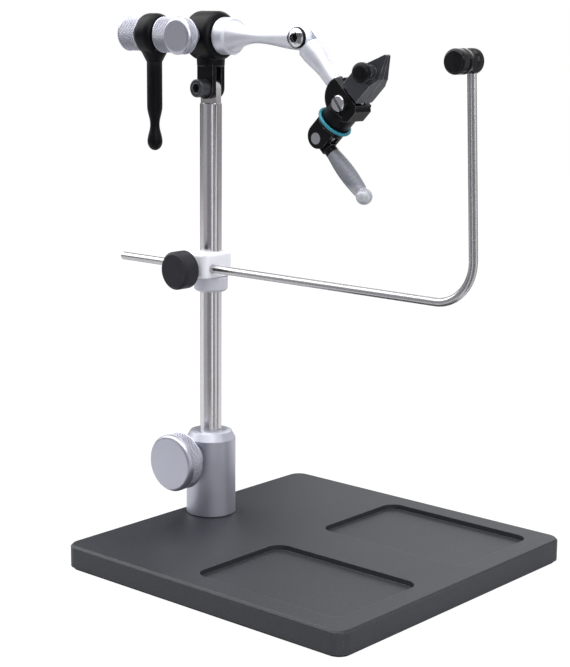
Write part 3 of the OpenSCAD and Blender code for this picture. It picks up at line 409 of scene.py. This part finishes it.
def own_place(tree, scale=(1, 1, 1)):
    """The object's own coordinates, scaled along each axis. A small scale stretches the pattern."""
    return vector_math(tree, "MULTIPLY", node(tree, "ShaderNodeTexCoord", output="Object"), scale)


def noise(tree, place, scale, detail=3.0, rough=0.55):
    """Soft cloudy noise, 0 to 1. Scale is in repeats per metre."""
    return node(tree, "ShaderNodeTexNoise", inputs={
        "Vector": place, "Scale": scale, "Detail": detail, "Roughness": rough})


def softened(tree, radius_mm):
    """The normal as it would be if every edge were rounded by a small radius."""
    return node(tree, "ShaderNodeBevel", {"samples": BEVEL_SAMPLES}, {"Radius": radius_mm * MM})


def bumped(tree, height, depth_mm, edge_mm=0.0):
    """Turns a 0 to 1 height into a normal, over softened edges where a radius is given."""
    values = {"Height": height, "Distance": depth_mm * MM, "Strength": 1.0}
    if edge_mm:
        values["Normal"] = softened(tree, edge_mm)
    return node(tree, "ShaderNodeBump", inputs=values)


def edge_mask(tree, radius_mm):
    """0 on flat surface, rising to 1 on a sharp edge, where the softened normal leaves the true one."""
    true = node(tree, "ShaderNodeNewGeometry", output="True Normal")
    facing = vector_math(tree, "DOT_PRODUCT", softened(tree, radius_mm), true, "Value")
    return (1 - facing).ramp(EDGE_STARTS, EDGE_FULL)


print("Grain helpers ready")

# %% [markdown]
# Powder coat on the plate
#
# Powder coat is paint that was baked on dry. Close up it is slightly pebbled, like orange peel, and it
# catches a soft sheen at a low angle. A fine noise makes the pebbles, and a slow one makes the sheen a
# little uneven, as it is on a real plate. The edges are painted lighter, a painted highlight for the
# line of light that they catch, and a few fine specks in the coat are lighter too.

# %% Powder coat
POWDER_SPECULAR = 0.55
POWDER_DARK = rgb(0.008, 0.010, 0.015)
POWDER_LIGHT = rgb(0.013, 0.015, 0.021)
# A lighter colour for the painted highlight on the edges and for the coat's pale specks.
POWDER_HIGHLIGHT_AND_SPECK = rgb(0.150, 0.155, 0.170)
POWDER_ROUGH = 0.40
CLOUDS_ROUGH = 0.10
PEBBLES_ROUGH = 0.14
EDGE_HIGHLIGHT_SHARE = 0.55
SPECK_SHARE = 0.13


def make_powder(name):
    """The plate's black coat: pebbled, a little cloudy, with a painted highlight on the edges and pale
    specks.
    """
    tree, shader = start_finish(name, Specular_IOR_Level=POWDER_SPECULAR)
    place = own_place(tree)
    pebbles = noise(tree, place, scale=1500.0, detail=2.0)
    clouds = noise(tree, place, scale=28.0)
    specks = noise(tree, place, scale=1300.0, detail=4.0, rough=0.8).ramp(low=0.50, high=0.72)
    # Painted highlight: the edges are painted lighter. The specks are the coat's own paler grains.
    edges = edge_mask(tree, radius_mm=0.5) * pebbles.ramp(low=0.30, high=0.60)
    edge_highlight_and_specks = (edges * EDGE_HIGHLIGHT_SHARE + specks * SPECK_SHARE).clamp()
    coat = mix_colours(tree, clouds, POWDER_DARK, POWDER_LIGHT)
    feed(tree, shader, Base_Color=mix_colours(tree, edge_highlight_and_specks, coat, POWDER_HIGHLIGHT_AND_SPECK),
         Roughness=POWDER_ROUGH + CLOUDS_ROUGH * clouds + PEBBLES_ROUGH * pebbles,
         Normal=bumped(tree, pebbles, depth_mm=0.060, edge_mm=0.35))


make_powder("powder_black")
print("Made powder_black")

# %% [markdown]
# Rubber
#
# The pad under the plate and the ring on the jaw shank are rubber. Rubber has no metal shine at all.
# The pad is matt and dark blue-grey with a fine tooth. The ring is dyed teal and a bit smoother,
# because it was moulded in a polished tool.

# %% Rubber finishes
RUBBER_IOR = 1.5
TOOTH_ROUGH = 0.12
# Each row: name, darker and lighter colour, roughness, depth of the tooth in millimetres.
RUBBERS = [
    ("pad_rubber", rgb(0.012, 0.014, 0.020), rgb(0.022, 0.025, 0.034), 0.68, 0.03),
    ("teal_rubber", rgb(0.004, 0.150, 0.205), rgb(0.006, 0.200, 0.265), 0.34, 0.006),
]


def make_rubber(name, dark, light, roughness, depth_mm):
    """A rubber with a fine tooth and slightly cloudy colour."""
    tree, shader = start_finish(name, IOR=RUBBER_IOR)
    place = own_place(tree)
    tooth = noise(tree, place, scale=2600.0, detail=2.0)
    clouds = noise(tree, place, scale=90.0)
    feed(tree, shader, Base_Color=mix_colours(tree, clouds, dark, light),
         Roughness=roughness + TOOTH_ROUGH * tooth,
         Normal=bumped(tree, tooth, depth_mm, edge_mm=0.1))


make_each(make_rubber, RUBBERS)

# %% [markdown]
# Blasted and anodised aluminium
#
# The socket, the knobs and the arms are turned aluminium. Fine beads were blown at them, which leaves
# tiny dimples, and the anodised skin over that is pale grey. The dimples scatter the reflections, so the
# part looks satin. A second, slower noise stands for the skin's slightly uneven tone. The cradle's clamp
# and collar came out of another batch: paler, more matt and softer at the corners. The arms and the
# flange ring get a brighter copy of the same skin, painted light for the light that falls on them from
# above.

# %% Silver anodised
DIMPLE_SCALE = 3400.0
SKIN_ROUGH = 0.08
DIMPLES_ROUGH = 0.06
# Each row: name, darker and lighter colour, roughness, metallic, then the depth of the dimples and the
# radius of the softened edges in millimetres.
SILVERS = [
    ("silver_anodised", rgb(0.49, 0.50, 0.57), rgb(0.55, 0.56, 0.63), 0.38, 1.0, 0.006, 0.12),
    ("silver_pale", rgb(0.57, 0.58, 0.64), rgb(0.64, 0.65, 0.71), 0.60, 0.6, 0.010, 0.9),
    ("silver_white", rgb(0.76, 0.77, 0.82), rgb(0.82, 0.83, 0.88), 0.60, 0.4, 0.010, 0.9),
    # Painted light: this row is a brighter copy of the skin, for the light from above on the arms.
    ("silver_painted_lit", rgb(0.60, 0.61, 0.67), rgb(0.67, 0.68, 0.74), 0.42, 0.75, 0.005, 0.0),
]


def make_silver(name, dark, light, roughness, metallic, depth_mm, edge_mm):
    """A satin skin over tiny dimples."""
    tree, shader = start_finish(name, Metallic=metallic)
    place = own_place(tree)
    dimples = noise(tree, place, DIMPLE_SCALE, detail=2.0)
    skin = noise(tree, place, scale=120.0, detail=4.0)
    feed(tree, shader, Base_Color=mix_colours(tree, skin, dark, light),
         Roughness=roughness + SKIN_ROUGH * skin + DIMPLES_ROUGH * dimples,
         Normal=bumped(tree, dimples, depth_mm, edge_mm))


make_each(make_silver, SILVERS)

# %% [markdown]
# The lever and the knurls
#
# Two silver finishes change along the part. The cam lever is blasted with coarser grit and looks dull,
# but fingers have rubbed its ball smoother, and the ball's colour is painted brighter as a painted
# highlight, so the height above the ball's lowest point blends the two.
# The knurls' grooves are painted darker, painted shade for the hollows of the knurl. A texture would have
# to guess where the grooves are, so the finish reads an attribute instead, which the mesh gets where the
# knurl is cut.

# %% Lever and knurl finishes
LEVER_METALLIC = 0.35
LEVER_DARK = rgb(0.145, 0.152, 0.176)
LEVER_LIGHT = rgb(0.185, 0.193, 0.225)
# The ball's colour, a painted highlight.
LEVER_BALL_HIGHLIGHT = rgb(0.42, 0.43, 0.47)
LEVER_ROUGH = 0.52
BALL_SMOOTHER = 0.18
BALL_BRIGHT_TO = 4.5
BALL_DULL_FROM = 8.5
KNURL_DARK = rgb(0.46, 0.47, 0.54)
KNURL_LIGHT = rgb(0.52, 0.53, 0.60)
# Painted shade: the colour in the knurl's grooves.
KNURL_GROOVE_SHADE = rgb(0.33, 0.33, 0.38)
KNURL_ROUGH = 0.38
GROOVE_ROUGH = 0.20


def make_lever_skin(name):
    """Coarse blasted skin, rubbed smoother on the ball, where a highlight is painted too."""
    tree, shader = start_finish(name, Metallic=LEVER_METALLIC)
    place = own_place(tree)
    dimples = noise(tree, place, scale=2600.0, detail=2.0)
    skin = noise(tree, place, scale=160.0, detail=4.0)
    height = node(tree, "ShaderNodeSeparateXYZ", inputs={"Vector": place}, output="Z")
    ball_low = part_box("cam_lever")[0].z
    # Painted highlight on the ball, together with the smoother polish that fingers leave there.
    rubbed_and_highlit = 1 - height.ramp(ball_low + BALL_BRIGHT_TO * MM, ball_low + BALL_DULL_FROM * MM)
    blasted = mix_colours(tree, skin, LEVER_DARK, LEVER_LIGHT)
    feed(tree, shader, Base_Color=mix_colours(tree, rubbed_and_highlit, blasted, LEVER_BALL_HIGHLIGHT),
         Roughness=LEVER_ROUGH - BALL_SMOOTHER * rubbed_and_highlit + DIMPLES_ROUGH * dimples,
         Normal=bumped(tree, dimples, depth_mm=0.006))


def make_knurled(name):
    """The anodised skin on a knurl, with painted shade in the grooves."""
    tree, shader = start_finish(name, Metallic=1.0)
    dimples = noise(tree, own_place(tree), DIMPLE_SCALE, detail=2.0)
    groove = node(tree, "ShaderNodeAttribute", {"attribute_name": "groove"}, output="Fac")
    # Painted shade in the grooves, from how deep the mesh was pushed in.
    groove_shade = groove.ramp(low=0.25, high=0.9)
    clean = mix_colours(tree, dimples, KNURL_DARK, KNURL_LIGHT)
    feed(tree, shader, Base_Color=mix_colours(tree, groove_shade, clean, KNURL_GROOVE_SHADE),
         Roughness=KNURL_ROUGH + GROOVE_ROUGH * groove_shade,
         Normal=bumped(tree, dimples, depth_mm=0.006, edge_mm=0.05))


make_lever_skin("silver_dull")
make_knurled("silver_knurled")
print("Made silver_dull and silver_knurled")

# %% [markdown]
# Black anodised and blackened parts
#
# The head, the crank and the jaw holder are black anodised, and the jaws and small screws are blackened
# steel. Both are thin skins on metal, so they keep more shine than paint. Along sharp edges, in patches,
# the colour is painted grey: partly the metal where fingers and tools rub the skin off, and partly a
# painted highlight for the light that the edges catch.

# %% Black skins
BLACK_SPECULAR = 0.12
PATCHES_ROUGH = 0.10
GRAIN_ROUGH = 0.05
# Each row: name, darker and lighter colour of the skin, colour of the worn, highlit edges, then
# metallic, roughness, grain in repeats per metre, its depth in millimetres and how much the edges are
# painted grey.
BLACKS = [
    ("black_anodised", rgb(0.0020, 0.0020, 0.0032), rgb(0.0040, 0.0040, 0.0052), rgb(0.24, 0.24, 0.26),
     0.0, 0.30, 3400.0, 0.006, 0.6),
    ("black_oxide", rgb(0.050, 0.051, 0.060), rgb(0.074, 0.076, 0.087), rgb(0.46, 0.46, 0.50),
     0.75, 0.30, 2400.0, 0.006, 0.9),
    ("knob_black", rgb(0.016, 0.016, 0.021), rgb(0.026, 0.026, 0.032), rgb(0.10, 0.10, 0.11),
     0.0, 0.38, 2200.0, 0.012, 0.3),
]


def make_black_skin(name, dark, light, bare, metallic, roughness, grain_scale, depth_mm, wear_and_highlight):
    """A black skin, painted grey along the edges in patches: wear, and a painted highlight."""
    tree, shader = start_finish(name, Metallic=metallic, Specular_IOR_Level=BLACK_SPECULAR)
    place = own_place(tree)
    grain = noise(tree, place, grain_scale, detail=2.0)
    patches = noise(tree, place, scale=260.0, detail=4.0)
    # Partly wear, partly a painted highlight: the edges are painted grey in patches.
    worn_and_highlit = edge_mask(tree, radius_mm=0.40) * patches.ramp(low=0.32, high=0.58) * wear_and_highlight
    skin = mix_colours(tree, patches, dark, light)
    feed(tree, shader, Base_Color=mix_colours(tree, worn_and_highlit, skin, bare),
         Roughness=roughness + PATCHES_ROUGH * patches + GRAIN_ROUGH * grain,
         Normal=bumped(tree, grain, depth_mm, edge_mm=0.14))


make_each(make_black_skin, BLACKS)

# %% [markdown]
# Polished and plated steel
#
# The stem is ground and polished steel. Grinding leaves hair-fine lines round the rod, and rubbing up
# and down with a cloth leaves fainter ones along it. Both are noise that is stretched a long way in one
# direction. Zinc plate on the studs is greyer and more cloudy, and the chrome screw is almost a mirror.
# The cradle's rod is duller than the stem, and the bushings in the head are bronze.

# %% Steel finishes
ROUND_THE_ROD = (0.04, 0.04, 1.0)
ALONG_THE_ROD = (1.0, 1.0, 0.02)
CLOUDY_SHARE = 0.5
# Each row: name, darker and lighter colour, roughness, how much the roughness varies, and the depth of
# the ground lines in millimetres.
STEELS = [
    ("polished_steel", rgb(0.62, 0.60, 0.61), rgb(0.70, 0.68, 0.69), 0.13, 0.14, 0.0012),
    ("rod_steel", rgb(0.44, 0.43, 0.44), rgb(0.52, 0.51, 0.52), 0.22, 0.10, 0.0012),
    ("zinc_steel", rgb(0.36, 0.37, 0.40), rgb(0.46, 0.47, 0.49), 0.26, 0.12, 0.003),
    ("chrome_screw", rgb(0.42, 0.42, 0.44), rgb(0.52, 0.52, 0.54), 0.16, 0.08, 0.0006),
    ("bronze_bush", rgb(0.50, 0.33, 0.16), rgb(0.60, 0.40, 0.20), 0.30, 0.12, 0.003),
]


def make_steel(name, dark, light, roughness, spread, line_depth_mm):
    """A metal with fine lines round it, fainter ones along it, and slow clouds."""
    tree, shader = start_finish(name, Metallic=1.0)
    lines = noise(tree, own_place(tree, ROUND_THE_ROD), scale=2600.0, detail=2.0)
    rubs = noise(tree, own_place(tree, ALONG_THE_ROD), scale=900.0)
    clouds = noise(tree, own_place(tree), scale=60.0)
    feed(tree, shader, Base_Color=mix_colours(tree, clouds, dark, light),
         Roughness=roughness + spread * lines * rubs + CLOUDY_SHARE * spread * clouds,
         Normal=bumped(tree, lines, line_depth_mm))


make_each(make_steel, STEELS)

# %% [markdown]
# The domed elbow screw
#
# This screw is chrome too. Its hex socket and the seam round its rim are painted dark, painted shade for
# these hollows. Both are at a fixed distance from the screw's axis, so the finish measures that distance,
# which needs no mesh of its own. The axis is read from the box of the CAD part.

# %% Domed screw
SOCKET_REACH = 1.75
SOCKET_BLUR = 0.15
SEAM_STARTS = 0.60
SEAM_FULL = 0.35
DOME_DARK = rgb(0.50, 0.50, 0.52)
DOME_LIGHT = rgb(0.62, 0.62, 0.64)
# Painted shade: the colour of the hex socket and of the rim's seam.
HOLLOW_SHADE = rgb(0.012, 0.012, 0.015)
DOME_ROUGH = 0.14
HOLLOW_ROUGH = 0.30
DOME_CLOUDS_ROUGH = 0.06


def make_domed_screw(name):
    """Chrome with painted shade in the hex socket and in the seam at the rim."""
    tree, shader = start_finish(name, Metallic=1.0)
    low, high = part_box("elbow_screw")
    middle = (low + high) / 2
    rim = (high.x - low.x) / 2
    place = own_place(tree)
    flat = vector_math(tree, "MULTIPLY", place, (1, 0, 1))
    away = vector_math(tree, "DISTANCE", flat, (middle.x, 0, middle.z), "Value")
    socket = 1 - away.ramp(SOCKET_REACH * MM, (SOCKET_REACH + SOCKET_BLUR) * MM)
    seam = away.ramp(rim - SEAM_STARTS * MM, rim - SEAM_FULL * MM)
    # Painted shade in the hex socket and in the seam.
    painted_hollow_shade = (socket + seam).clamp()
    clouds = noise(tree, place, scale=500.0)
    clean = mix_colours(tree, clouds, DOME_DARK, DOME_LIGHT)
    feed(tree, shader, Base_Color=mix_colours(tree, painted_hollow_shade, clean, HOLLOW_SHADE),
         Roughness=DOME_ROUGH + HOLLOW_ROUGH * painted_hollow_shade + DOME_CLOUDS_ROUGH * clouds)


make_domed_screw("domed_screw")
print("Made domed_screw")

# %% [markdown]
# Gloss black on the spool
#
# The spool is turned plastic with a polished skin. It is nearly black, and a thin clear coat gives the
# small hard highlights. Use polishes it in places, so the coat's weight changes a little.

# %% Gloss black
COAT_ROUGH = 0.06
GLOSS_DARK = rgb(0.004, 0.004, 0.005)
GLOSS_LIGHT = rgb(0.008, 0.008, 0.009)
GLOSS_ROUGH = 0.16
GLOSS_CLOUDS_ROUGH = 0.12
COAT_THIN = 0.05
COAT_VARIES = 0.15


def make_gloss(name):
    """Polished plastic under a clear coat of uneven weight."""
    tree, shader = start_finish(name, Specular_IOR_Level=BLACK_SPECULAR, Coat_Roughness=COAT_ROUGH)
    clouds = noise(tree, own_place(tree), scale=300.0)
    feed(tree, shader, Base_Color=mix_colours(tree, clouds, GLOSS_DARK, GLOSS_LIGHT),
         Roughness=GLOSS_ROUGH + GLOSS_CLOUDS_ROUGH * clouds,
         Coat_Weight=COAT_THIN + COAT_VARIES * clouds,
         Normal=bumped(tree, clouds, depth_mm=0.004, edge_mm=0.12))


make_gloss("gloss_black")
print("Made gloss_black")

# %% [markdown]
# Giving each CAD part its finish
#
# The record already says which finish slot each part belongs to, so the parts are dressed from that
# list. A few parts don't look like the rest of their slot, and a short table names their own finish. A
# part's object only gets a new material in its slots, and its mesh stays as the CAD made it.

# %% Dress the CAD parts
OWN_FINISH = {
    "cradle_clamp": "silver_white", "height_collar": "silver_pale", "cam_lever": "silver_dull",
    # The arms and the flange ring take the brighter, painted-lit copy of the silver.
    "upper_arm": "silver_painted_lit", "lower_arm": "silver_painted_lit", "flange_ring": "silver_painted_lit",
    "elbow_screw": "domed_screw", "cradle_rod": "rod_steel",
}


def dress_parts():
    """Puts each CAD node's finish into its material slots."""
    slots = {row["node"]: row["material_slot"] for row in frame["record"]["subparts"]}
    for name, part in frame["nodes"].items():
        finish = FINISHES[OWN_FINISH.get(name, slots[name])]
        if not part.material_slots:
            part.data.materials.append(finish)
        for place in part.material_slots:
            place.material = finish
    print("Dressed", len(slots), "CAD parts")


dress_parts()

# %% [markdown]
# Smooth shading on the CAD parts
#
# The CAD draws a curved outline as many short cones, and each cone's edge would show as a faint ring on
# polished metal. The meshes themselves stay untouched. Instead a small Geometry Nodes modifier merges
# the seams, forgets the imported normals and shades smoothly across every edge below a set angle.
# Sharper edges stay crisp.

# %% Smooth by angle
# Points nearer than this, in metres, count as one.
SEAM = 0.000002
SMOOTH_BELOW = math.radians(28)


def smoothing_group():
    """A geometry group that shades smoothly across soft edges only."""
    group = bpy.data.node_groups.new("Smooth across soft edges", "GeometryNodeTree")
    group.interface.new_socket("Geometry", in_out="INPUT", socket_type="NodeSocketGeometry")
    group.interface.new_socket("Geometry", in_out="OUTPUT", socket_type="NodeSocketGeometry")
    given = Wire(group, group.nodes.new("NodeGroupInput").outputs[0])
    merged = node(group, "GeometryNodeMergeByDistance", inputs={"Geometry": given, "Distance": SEAM})
    bare = node(group, "GeometryNodeRemoveAttribute", inputs={"Geometry": merged, "Name": "custom_normal"})
    soft = node(group, "GeometryNodeSetShadeSmooth", {"domain": "FACE"},
                {"Geometry": bare, "Shade Smooth": True})
    angle = node(group, "GeometryNodeInputMeshEdgeAngle")
    sharp = node(group, "FunctionNodeCompare", {"operation": "GREATER_THAN"}, {0: angle, 1: SMOOTH_BELOW})
    crisp = node(group, "GeometryNodeSetShadeSmooth", {"domain": "EDGE"},
                 {"Geometry": soft, "Selection": sharp, "Shade Smooth": False})
    node(group, "NodeGroupOutput", inputs={0: crisp})
    return group


smoothing = smoothing_group()
for part in frame["nodes"].values():
    part.modifiers.new("Smooth across soft edges", "NODES").node_group = smoothing
print("Smoothed", len(frame["nodes"]), "CAD parts")

# %% [markdown]
# What a knurl is
#
# A knurl is the pattern of small pyramids that a lathe tool rolls into a knob so that fingers grip it.
# A bump texture would leave the knob's outline smooth, and up close the eye notices. So the knurled
# knobs are built as real surfaces, and each point of the knurled band is pushed in by a small height.
# It is pushed in least where two sets of slanting ridges cross.

# %% Knurl heights
def ridge(phase):
    """A triangle wave: 1 on a ridge, 0 in the groove."""
    return abs((phase % 1.0) * 2 - 1)


def diamond(angle_share, length, teeth, pitch):
    """Height of a diamond knurl, 0 in the grooves to 1 on the points."""
    around = angle_share * teeth
    return min(ridge(around + length / pitch), ridge(around - length / pitch))


def dense(outline, band, step):
    """Adds points to an outline between the band's two ends along the axis."""
    points = []
    for (r_a, z_a), (r_b, z_b) in zip(outline, outline[1:]):
        crosses = max(z_a, z_b) > band[0] and min(z_a, z_b) < band[1]
        count = max(1, round(abs(z_b - z_a) / step)) if crosses else 1
        points += [(r_a + (r_b - r_a) * i / count, z_a + (z_b - z_a) * i / count) for i in range(count)]
    return points + [outline[-1]]


print("Knurl height in a groove:", ridge(0.5), "and on a ridge:", ridge(0.0))

# %% [markdown]
# Spinning an outline
#
# A turned piece is an outline that is spun round an axis. Blender's Screw modifier does that too, but it
# can't push single points in, so the grid of points is written out here: one ring of points for each
# point of the outline, and faces between the rings. How deep each point was pushed in is kept on the
# mesh as an attribute, and the knurled finish paints shade into the grooves with it.

# %% Rings of points into a solid
# Points nearer than this, in millimetres, are merged.
DOUBLE_GAP = 0.002


def frame_of(origin, axis):
    """A turn and shift that puts a local Z axis along axis, at origin in millimetres."""
    turn = Vector(axis).to_track_quat("Z", "Y").to_matrix().to_4x4()
    return Matrix.Translation(Vector(origin)) @ turn


def ring_point(place, radius, z, share):
    """A point in metres: radius and z on the local axis, at a share of a full turn round it."""
    angle = 2 * math.pi * share
    return place @ Vector((radius * math.cos(angle), radius * math.sin(angle), z)) * MM


def grid_faces(rows, sides):
    """The four-sided faces between rings of points that all have the same number of sides."""
    faces = []
    for row in range(rows - 1):
        for k in range(sides):
            a, b = row * sides + k, row * sides + (k + 1) % sides
            faces.append((a, b, b + sides, a + sides))
    return faces


def solid(name, vertices, faces, grooves=None, smooth_angle=32.0):
    """A mesh object from points and faces: doubles merged, normals outwards, sharp edges kept."""
    mesh = bpy.data.meshes.new(name)
    mesh.from_pydata(vertices, [], faces)
    if grooves:
        mesh.attributes.new("groove", "FLOAT", "POINT").data.foreach_set("value", grooves)
    shape = bmesh.new()
    shape.from_mesh(mesh)
    bmesh.ops.remove_doubles(shape, verts=shape.verts, dist=DOUBLE_GAP * MM)
    bmesh.ops.recalc_face_normals(shape, faces=shape.faces)
    limit = math.radians(smooth_angle)
    for face in shape.faces:
        face.smooth = True
    for edge in shape.edges:
        edge.smooth = len(edge.link_faces) == 2 and edge.calc_face_angle(0) < limit
    shape.to_mesh(mesh)
    shape.free()
    made = bpy.data.objects.new(name, mesh)
    bpy.context.collection.objects.link(made)
    return made


print("Solid helpers ready")

# %% Spin an outline with a knurl
KNURL_STEPS = 6
# The knurl runs out over this length, in millimetres, at both ends of its band.
KNURL_FADE = 0.25
# Only points beyond this share of the rim's radius are pushed in.
BAND_RIM_SHARE = 0.8


def spin(name, outline, place, band, teeth, depth):
    """Spins [radius, height] points round a local axis. Within band the surface carries a knurl."""
    rim = max(radius for radius, _ in outline)
    pitch = 2 * math.pi * rim / teeth
    sides = teeth * KNURL_STEPS
    points = dense(outline, band, pitch / KNURL_STEPS)
    vertices, grooves = [], []
    for radius, z in points:
        for k in range(sides):
            share = k / sides
            sunk = 0.0
            if band[0] <= z <= band[1] and radius > rim * BAND_RIM_SHARE:
                fade = min(1.0, min(z - band[0], band[1] - z) / KNURL_FADE)
                sunk = fade * (1 - diamond(share, z, teeth, pitch))
            grooves.append(sunk)
            vertices.append(ring_point(place, radius - depth * sunk, z, share))
    return solid(name, vertices, grid_faces(len(points), sides), grooves)


def dress(piece, slot, body, *nodes, finish=None):
    """Gives a piece its finish, its body and the CAD parts that it stands for."""
    piece.data.materials.append(FINISHES[finish or slot])
    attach(piece, body)
    if nodes:
        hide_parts(*nodes)
    print(piece.name, len(piece.data.vertices), "points, rides on", body)


print("Spin helpers ready")

# %% [markdown]
# The two knobs on the tyer's side
#
# The socket knob and the lock knob have a smooth ring in front, a fine groove, then a knurled band, then
# a small smooth shoulder at the back. The front edge is bevelled so it doesn't cut the fingers. Each
# knob's place and radius are read from the box of the CAD part that it stands for, so a knob still fits
# if the CAD changes its size.

# %% Socket knob and lock knob
BEVEL = 1.2
BEVEL_SHARES = (0.35, 0.42)
BACK_EDGE = 0.4
SEAM_GROOVE = 0.16
SEAM_WALL = 0.12
SEAM_FLOOR = 0.30
# A hair's width, for points that stay just off the axis or just inside the CAD box.
HAIR = 0.02
FACE_RING = 0.5
FACE_MIDDLE_SHARE = 0.45
NECK_SHARE = 0.5
KNURL_GAP = 0.15
STUD_BORE = 2.52
TYER = (0, -1, 0)
# Each row: node, depth from back to face, width of the smooth ring, teeth and depth of the knurl.
KNOBS = [
    ("socket_knob", 8.5, 2.8, 74, 0.40),
    ("lock_knob", 6.0, 2.0, 50, 0.38),
]


def box_mm(node_name):
    """A CAD part's lowest and highest corner in millimetres."""
    low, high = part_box(node_name)
    return low / MM, high / MM


def knob_outline(radius, length, neck_length, smooth):
    """Half outline of a thumb knob: the blind hole for its stud, the neck, the rim and the face."""
    split = length - smooth
    seam = radius - SEAM_GROOVE
    neck = radius * NECK_SHARE
    face = length - HAIR
    return [
        (0.0, length / 2), (STUD_BORE, length / 2), (STUD_BORE, -neck_length), (neck, -neck_length),
        (neck, 0), (radius - BACK_EDGE, 0), (radius, BACK_EDGE),
        (radius, split), (seam, split + SEAM_WALL), (seam, split + SEAM_WALL + SEAM_FLOOR),
        (radius, split + 2 * SEAM_WALL + SEAM_FLOOR), (radius, length - BEVEL),
        (radius - BEVEL_SHARES[0] * BEVEL, length - BEVEL_SHARES[1] * BEVEL), (radius - BEVEL, face),
        (radius - BEVEL - FACE_RING, face), (FACE_MIDDLE_SHARE * radius, face), (HAIR, face),
    ]


for name, length, smooth, teeth, depth in KNOBS:
    low, high = box_mm(name)
    back = low.y + length
    knob = spin(name + "_grip", knob_outline((high.x - low.x) / 2, length, high.y - back, smooth),
                frame_of(((low.x + high.x) / 2, back, (low.z + high.z) / 2), TYER),
                (BACK_EDGE, length - smooth - KNURL_GAP), teeth, depth)
    dress(knob, "silver_anodised", name, name, finish="silver_knurled")

# %% [markdown]
# The rings round the shaft
#
# The drag collar and the end knob are knurled over most of their length and sit round the shaft, so
# their axis lies level. The collar is a sleeve with a thinner neck. The end knob is a cap with a rounded
# face, and a blind hole takes the end of the shaft.

# %% Drag collar and end knob
SHAFT_BORE = 4.04
TO_LEFT = (-1, 0, 0)
TO_RIGHT = (1, 0, 0)
COLLAR_RIM = 10.0
COLLAR_STEP = 1.9
COLLAR_BEVEL = 0.7
COLLAR_BAND = (0.8, COLLAR_RIM - 0.5)
COLLAR_TEETH = 48
END_WALL = 1.8
END_BAND_STARTS = 0.6
END_BAND_SHORT = 1.6
END_TEETH = 46
RING_KNURL = 0.36
# The end knob's rounded edge: how far in from the rim, and how far back from the face.
END_ROUND = [(0.0, 1.5), (0.15, 1.2), (0.6, 0.6), (1.2, 0.2), (1.9, 0.03)]


def ring_sizes(node_name):
    """Radius, height of the axis, length, and both ends along X of a part round the shaft."""
    low, high = box_mm(node_name)
    return (high.z - low.z) / 2, (high.z + low.z) / 2, high.x - low.x, low.x, high.x


def build_drag_collar():
    """A sleeve with a bevelled, knurled rim and a thinner neck."""
    radius, middle, length, left, _ = ring_sizes("shaft_collar")
    neck = radius - COLLAR_STEP
    outline = [
        (SHAFT_BORE, 0.0), (neck, 0.0), (radius - COLLAR_BEVEL, HAIR), (radius, COLLAR_BEVEL),
        (radius, COLLAR_RIM - BACK_EDGE), (radius - BACK_EDGE, COLLAR_RIM), (neck, COLLAR_RIM),
        (neck, length), (SHAFT_BORE, length), (SHAFT_BORE, 0.0),
    ]
    collar = spin("drag_collar_ring", outline, frame_of((left, 0, middle), TO_RIGHT),
                  COLLAR_BAND, COLLAR_TEETH, RING_KNURL)
    dress(collar, "silver_anodised", "drag_collar", "shaft_collar", finish="silver_knurled")


def build_end_knob():
    """A knurled cap on the shaft's end, with a rounded face."""
    radius, middle, length, _, right = ring_sizes("end_knob")
    hole_end = length - END_WALL
    outline = [(0.0, hole_end), (SHAFT_BORE, hole_end), (SHAFT_BORE, 0.0), (radius - BACK_EDGE, 0.0),
               (radius, BACK_EDGE)]
    outline += [(radius - inward, length - behind) for inward, behind in END_ROUND]
    outline += [(0.0, length - END_ROUND[-1][1])]
    knob = spin("end_knob_grip", outline, frame_of((right, 0, middle), TO_LEFT),
                (END_BAND_STARTS, length - END_BAND_SHORT), END_TEETH, RING_KNURL)
    dress(knob, "silver_anodised", "end_knob", "end_knob", finish="silver_knurled")


build_drag_collar()
build_end_knob()

# %% [markdown]
# Threads on the studs
#
# A screw thread is one ridge that climbs as it turns. On a spun surface that only means that the
# height of the ridge depends on the angle as well as on the length, so the same grid can carry it. The
# thread fades out before the ends, where a real stud is chamfered and plain.

# %% Threaded studs
THREAD_PITCH = 0.8
THREAD_DEPTH = 0.42
THREAD_STEPS = 8
THREAD_SIDES = 24
THREAD_SMOOTH = 60.0
PLAIN_END = 0.6
CHAMFER_SHARE = 0.5


def threaded(name, radius, length, place):
    """A stud along z, with one thread from its chamfer to its plain end."""
    start, end = radius, length - PLAIN_END
    count = round((end - start) / (THREAD_PITCH / THREAD_STEPS))
    rows = [(0.0, 0.0), (radius * CHAMFER_SHARE, 0.0), (radius, radius * CHAMFER_SHARE)]
    rows += [(radius, start + (end - start) * i / count) for i in range(count + 1)]
    rows += [(radius, length), (0.0, length)]
    vertices = []
    for r_row, z in rows:
        inside = r_row == radius and start <= z <= end
        fade = min(1.0, min(z - start, end - z) / THREAD_PITCH) if inside else 0.0
        for k in range(THREAD_SIDES):
            share = k / THREAD_SIDES
            sunk = THREAD_DEPTH * fade * (1 - ridge(share + z / THREAD_PITCH))
            vertices.append(ring_point(place, r_row - sunk, z, share))
    faces = grid_faces(len(rows), THREAD_SIDES)
    return solid(name, vertices, faces, smooth_angle=THREAD_SMOOTH)


for name, *_ in KNOBS:
    low, high = box_mm(name + "_screw")
    place = frame_of(((low.x + high.x) / 2, high.y, (low.z + high.z) / 2), TYER)
    stud = threaded(name + "_stud", (high.x - low.x) / 2, high.y - low.y, place)
    dress(stud, "zinc_steel", name, name + "_screw")

# %% [markdown]
# The end
#
# The dressed model may not grow past the CAD box.
